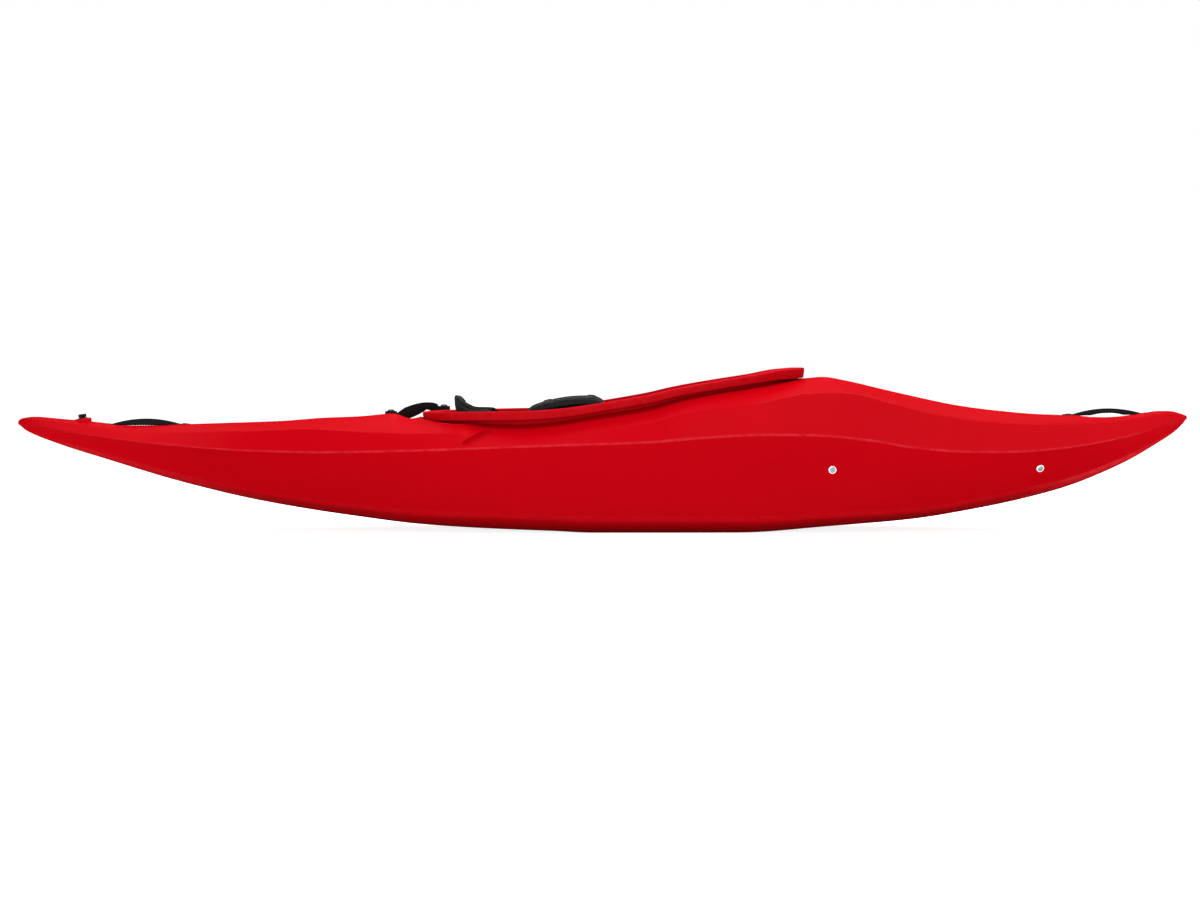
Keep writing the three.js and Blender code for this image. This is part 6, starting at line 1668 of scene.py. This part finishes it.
for side, sideName in bothSides:
    middle = (alongSeat(hip["place"]), side * (seat["width"] / 2 - seat["wall"] - fitGap), hip["rise"])
    foamPad("hipPad" + sideName.capitalize(), middle, (1, 0, 0), (0, 0, 1), (0, -side, 0), hip["length"],
            hip["height"], hip["thickness"], hip["crown"], "seat", "hip_pad_" + sideName)

print("thigh braces")

braceCrest = smoothLine(brace["crests"])


def alongBrace(share):
    return braceRear + share * brace["length"]


def braceLine(share):
    crest, inner = hull["deckHeight"] * float(braceCrest(share)), braceOuter - brace["width"]
    foot, corner = hull["deckHeight"] * brace["foot"], brace["corner"]
    return [(braceOuter, foot), (braceOuter, crest - corner), (braceOuter - corner, crest),
            ((braceOuter + inner) / 2, crest), (inner, crest - brace["lipDrop"])]


def thighBrace(side, sideName):
    wall, rings = brace["wall"], []
    for share in np.concatenate([[0, 0.006], np.linspace(0.02, 0.98, 44), [0.994, 1]]):
        shrink = 0.0012 if share in (0, 1) else 0.0
        outer = braceLine(share)
        inner = [(y - wall if i < 2 else y, z if i < 2 else z - wall) for i, (y, z) in enumerate(outer)]
        inner[1] = (inner[1][0], inner[1][1] - wall / 2)
        corners = outer + inner[::-1]
        middle = np.mean(corners, axis=0)
        outline = roundedOutline(corners, brace["rounds"], 5)
        outline += (middle - outline) / np.linalg.norm(middle - outline, axis=1, keepdims=True) * shrink
        x = alongBrace(share)
        rings.append([(x, side * y, z) for y, z in outline])
    piece = lofted("thighBrace" + sideName.capitalize(), rings)
    slots, middle, reach, height = [], side * (braceOuter - wall / 2), brace["travel"], brace["slotHeight"]
    for x in braceBolts:
        slot = boxSolid("slot", (2 * reach, 0.03, 2 * height), (x, middle, braceBoltHeight))
        ends = [rodSolid("slotEnd", height, -0.015, 0.015,
                         standing((x + end * reach, middle, braceBoltHeight), (0, 1, 0)), 24) for end in (-1, 1)]
        slots.append(fuse(slot, *ends))
    cut(piece, *slots)
    return dressed(piece, fittingBlack, "thigh_brace_" + sideName, "fitting", "thigh_brace_" + sideName)


thigh = {"across": [(0, 0.25), (0.06, 0.8), (0.25, 1), (0.6, 0.9), (0.94, 0.6), (1, 0.2)],
         "along": [(0, 0.35), (0.1, 0.9), (0.3, 1), (0.8, 1), (0.94, 0.85), (1, 0.35)],
         "voxel": 0.0042, "cap": 0.004, "shrink": 0.66, "channel": 0.034, "channelDepth": 0.0022,
         "channelWidth": 0.003, "seam": 0.0035, "seamInset": 0.014, "buttons": (0.216, 0.81), "buttonShift": 0.006,
         "button": [(0, -0.002), (0.0105, -0.002), (0.0105, 0.0008), (0.0092, 0.0022), (0.006, 0.0027), (0, 0.0028)]}


def thighPad(side, sideName):
    across, along = smoothLine(thigh["across"]), smoothLine(thigh["along"])
    width = brace["width"] - brace["padInset"]

    def top(share, t):
        lip = brace["lipDrop"] * max(0, (t * width + brace["padInset"] / 2) / brace["width"] * 2 - 1)
        return hull["deckHeight"] * float(braceCrest(share)) + fitGap - lip

    t = (1 - np.cos(np.linspace(0, 1, 25) * math.pi)) / 2
    y = braceOuter - brace["padInset"] / 2 - t * width
    rings = []
    for share in np.concatenate([[0, 0.01], np.linspace(0.03, 0.97, 40), [0.99, 1]]):
        under = np.array([top(share, value) for value in t])
        over = under + brace["padThickness"] * across(t) * along(share) * thigh["shrink"]
        x = alongBrace(share)
        rings.append([(x, side * a, b) for a, b in zip(y, under)]
                     + [(x, side * a, b) for a, b in zip(y[::-1], over[::-1])])
    pad = lofted("thighPad" + sideName.capitalize(), rings)

    def give(points):
        share = np.clip((points[:, 0] - braceRear) / brace["length"], 0, 1)
        inward = (braceOuter - np.abs(points[:, 1])) / brace["width"]
        lip = brace["lipDrop"] * np.maximum(0, 2 * inward - 1)
        return swellAbove(points[:, 2] - (hull["deckHeight"] * braceCrest(share) - lip))

    puffed(pad, thigh["voxel"], thigh["cap"], give)
    middle, channel = braceOuter - brace["width"] / 2, thigh["channel"]
    lines = [lambda points: np.abs(np.abs(points[:, 1]) - middle) - channel]
    drawnIn(pad, lines, thigh["channelDepth"], thigh["channelWidth"], upperSide)
    body = "thigh_brace_" + sideName
    dressed(pad, padCharcoal, body, "pad", "thigh_pad_" + sideName)
    places = np.linspace(braceRear + thigh["seamInset"], braceRear + brace["length"] - thigh["seamInset"], 40)
    rows = [[(x, side * (middle + way * channel + shift), 0.35) for x in places]
            for way in (-1, 1) for shift in (-thigh["seam"], thigh["seam"])]
    stitches("thighPadStitches" + sideName.capitalize(), rows, pad, body)
    buttons = []
    for share in thigh["buttons"]:
        above = Vector((alongBrace(share), side * (middle + thigh["buttonShift"]), 0.33))
        hit, spot, normal, face = pad.closest_point_on_mesh(above)
        buttons.append(turnedSolid("button", thigh["button"], standing(spot, normal)))
    dressed(joined("padButtons" + sideName.capitalize(), buttons), fittingBlack, body, "fitting")


for side, sideName in bothSides:
    thighBrace(side, sideName)
    thighPad(side, sideName)

print("foam pillars")

pillar = {"thickness": 0.064, "clear": 0.0085, "voxel": 0.0055, "gap": 0.012, "rows": [
    ("frontPillar", "front_pillar", scoops[0]["share"], -1, 0.120),
    ("rearPillar", "rear_pillar", scoops[1]["share"], 1, 0.480)]}
for name, node, share, way, length in pillar["rows"]:
    end = alongHull(share) + way * ((handle["span"] + handle["foot"]) / 2 + pillar["gap"])
    slab = boxSolid(name, (length, pillar["thickness"], 0.8), (end + way * length / 2, 0, 0.2))
    combine(slab, [hullForm("pillarRoom", pillar["clear"])], "INTERSECT")
    evenMesh(slab, pillar["voxel"])
    modifier(slab, "SMOOTH", factor=0.5, iterations=6)
    baked(slab)
    dressed(slab, pillarGrey, "hull", "pillar", node, angle=70)

print("rails, foot rest and ratchets")


# a finer copy of a solid: its flat faces merged and its edges rounded
def refined(node, name, material, body, slot, edge=0.0008, segments=2):
    work = bmesh.new()
    work.from_mesh(nodes[node].data)
    bmesh.ops.remove_doubles(work, verts=work.verts, dist=1e-6)
    bmesh.ops.dissolve_limit(work, angle_limit=math.radians(1), verts=work.verts, edges=work.edges)
    piece = newPiece(name, meshFrom(work, name))
    modifier(piece, "BEVEL", width=edge, segments=segments, limit_method="ANGLE", angle_limit=math.radians(40))
    return dressed(baked(piece), material, body, slot, node, angle=40)


refined("seat_track", "seatTrack", seatBlack, "hull", "seat", 0.0015)
refined("foot_plate", "footPlate", fittingBlack, "foot_plate", "fitting", 0.0012)
for side, sideName in bothSides:
    label, slider, lever = sideName.capitalize(), "foot_slider_" + sideName, "ratchet_lever_" + sideName
    refined("foot_rail_" + sideName, "footRail" + label, railBlack, "hull", "rail", 0.0009)
    refined(slider, "footSlider" + label, fittingBlack, slider, "fitting")
    refined("backband_strap_" + sideName, "bandStrap" + label, strapBlack, "seat", "strap", 0.0002, 1)
    refined("ratchet_body_" + sideName, "ratchetBody" + label, fittingBlack, "seat", "fitting", 0.0006)
    refined(lever, "ratchetLever" + label, fittingBlack, lever, "fitting")

footPlate = {"share": 0.779, "bottom": 0.229 * hull["deckHeight"], "height": 0.363 * hull["deckHeight"],
             "thickness": 0.005, "padWidth": 0.200, "padInset": 0.009, "padThickness": 0.020}
footX = alongHull(footPlate["share"])
foamPad("footPad", (footX - footPlate["thickness"] - fitGap, 0, footPlate["bottom"] + footPlate["height"] / 2),
        (0, 1, 0), (0, 0, 1), (-1, 0, 0), footPlate["padWidth"], footPlate["height"] - 2 * footPlate["padInset"],
        footPlate["padThickness"], [(0, 0.97), (0.15, 1), (0.6, 1), (0.85, 0.97), (0.95, 0.92), (1, 0.84)],
        "foot_plate", "foot_pad")

print("finishes of the solids that stay")

for name, node in nodes.items():
    node.data.materials.clear()
    node.data.materials.append(steelBright if name.startswith("ratchet_pin") else fittingBlack)
for template in (domeHead, cupHead, rivetHead, washerRing):
    bpy.data.objects.remove(template)
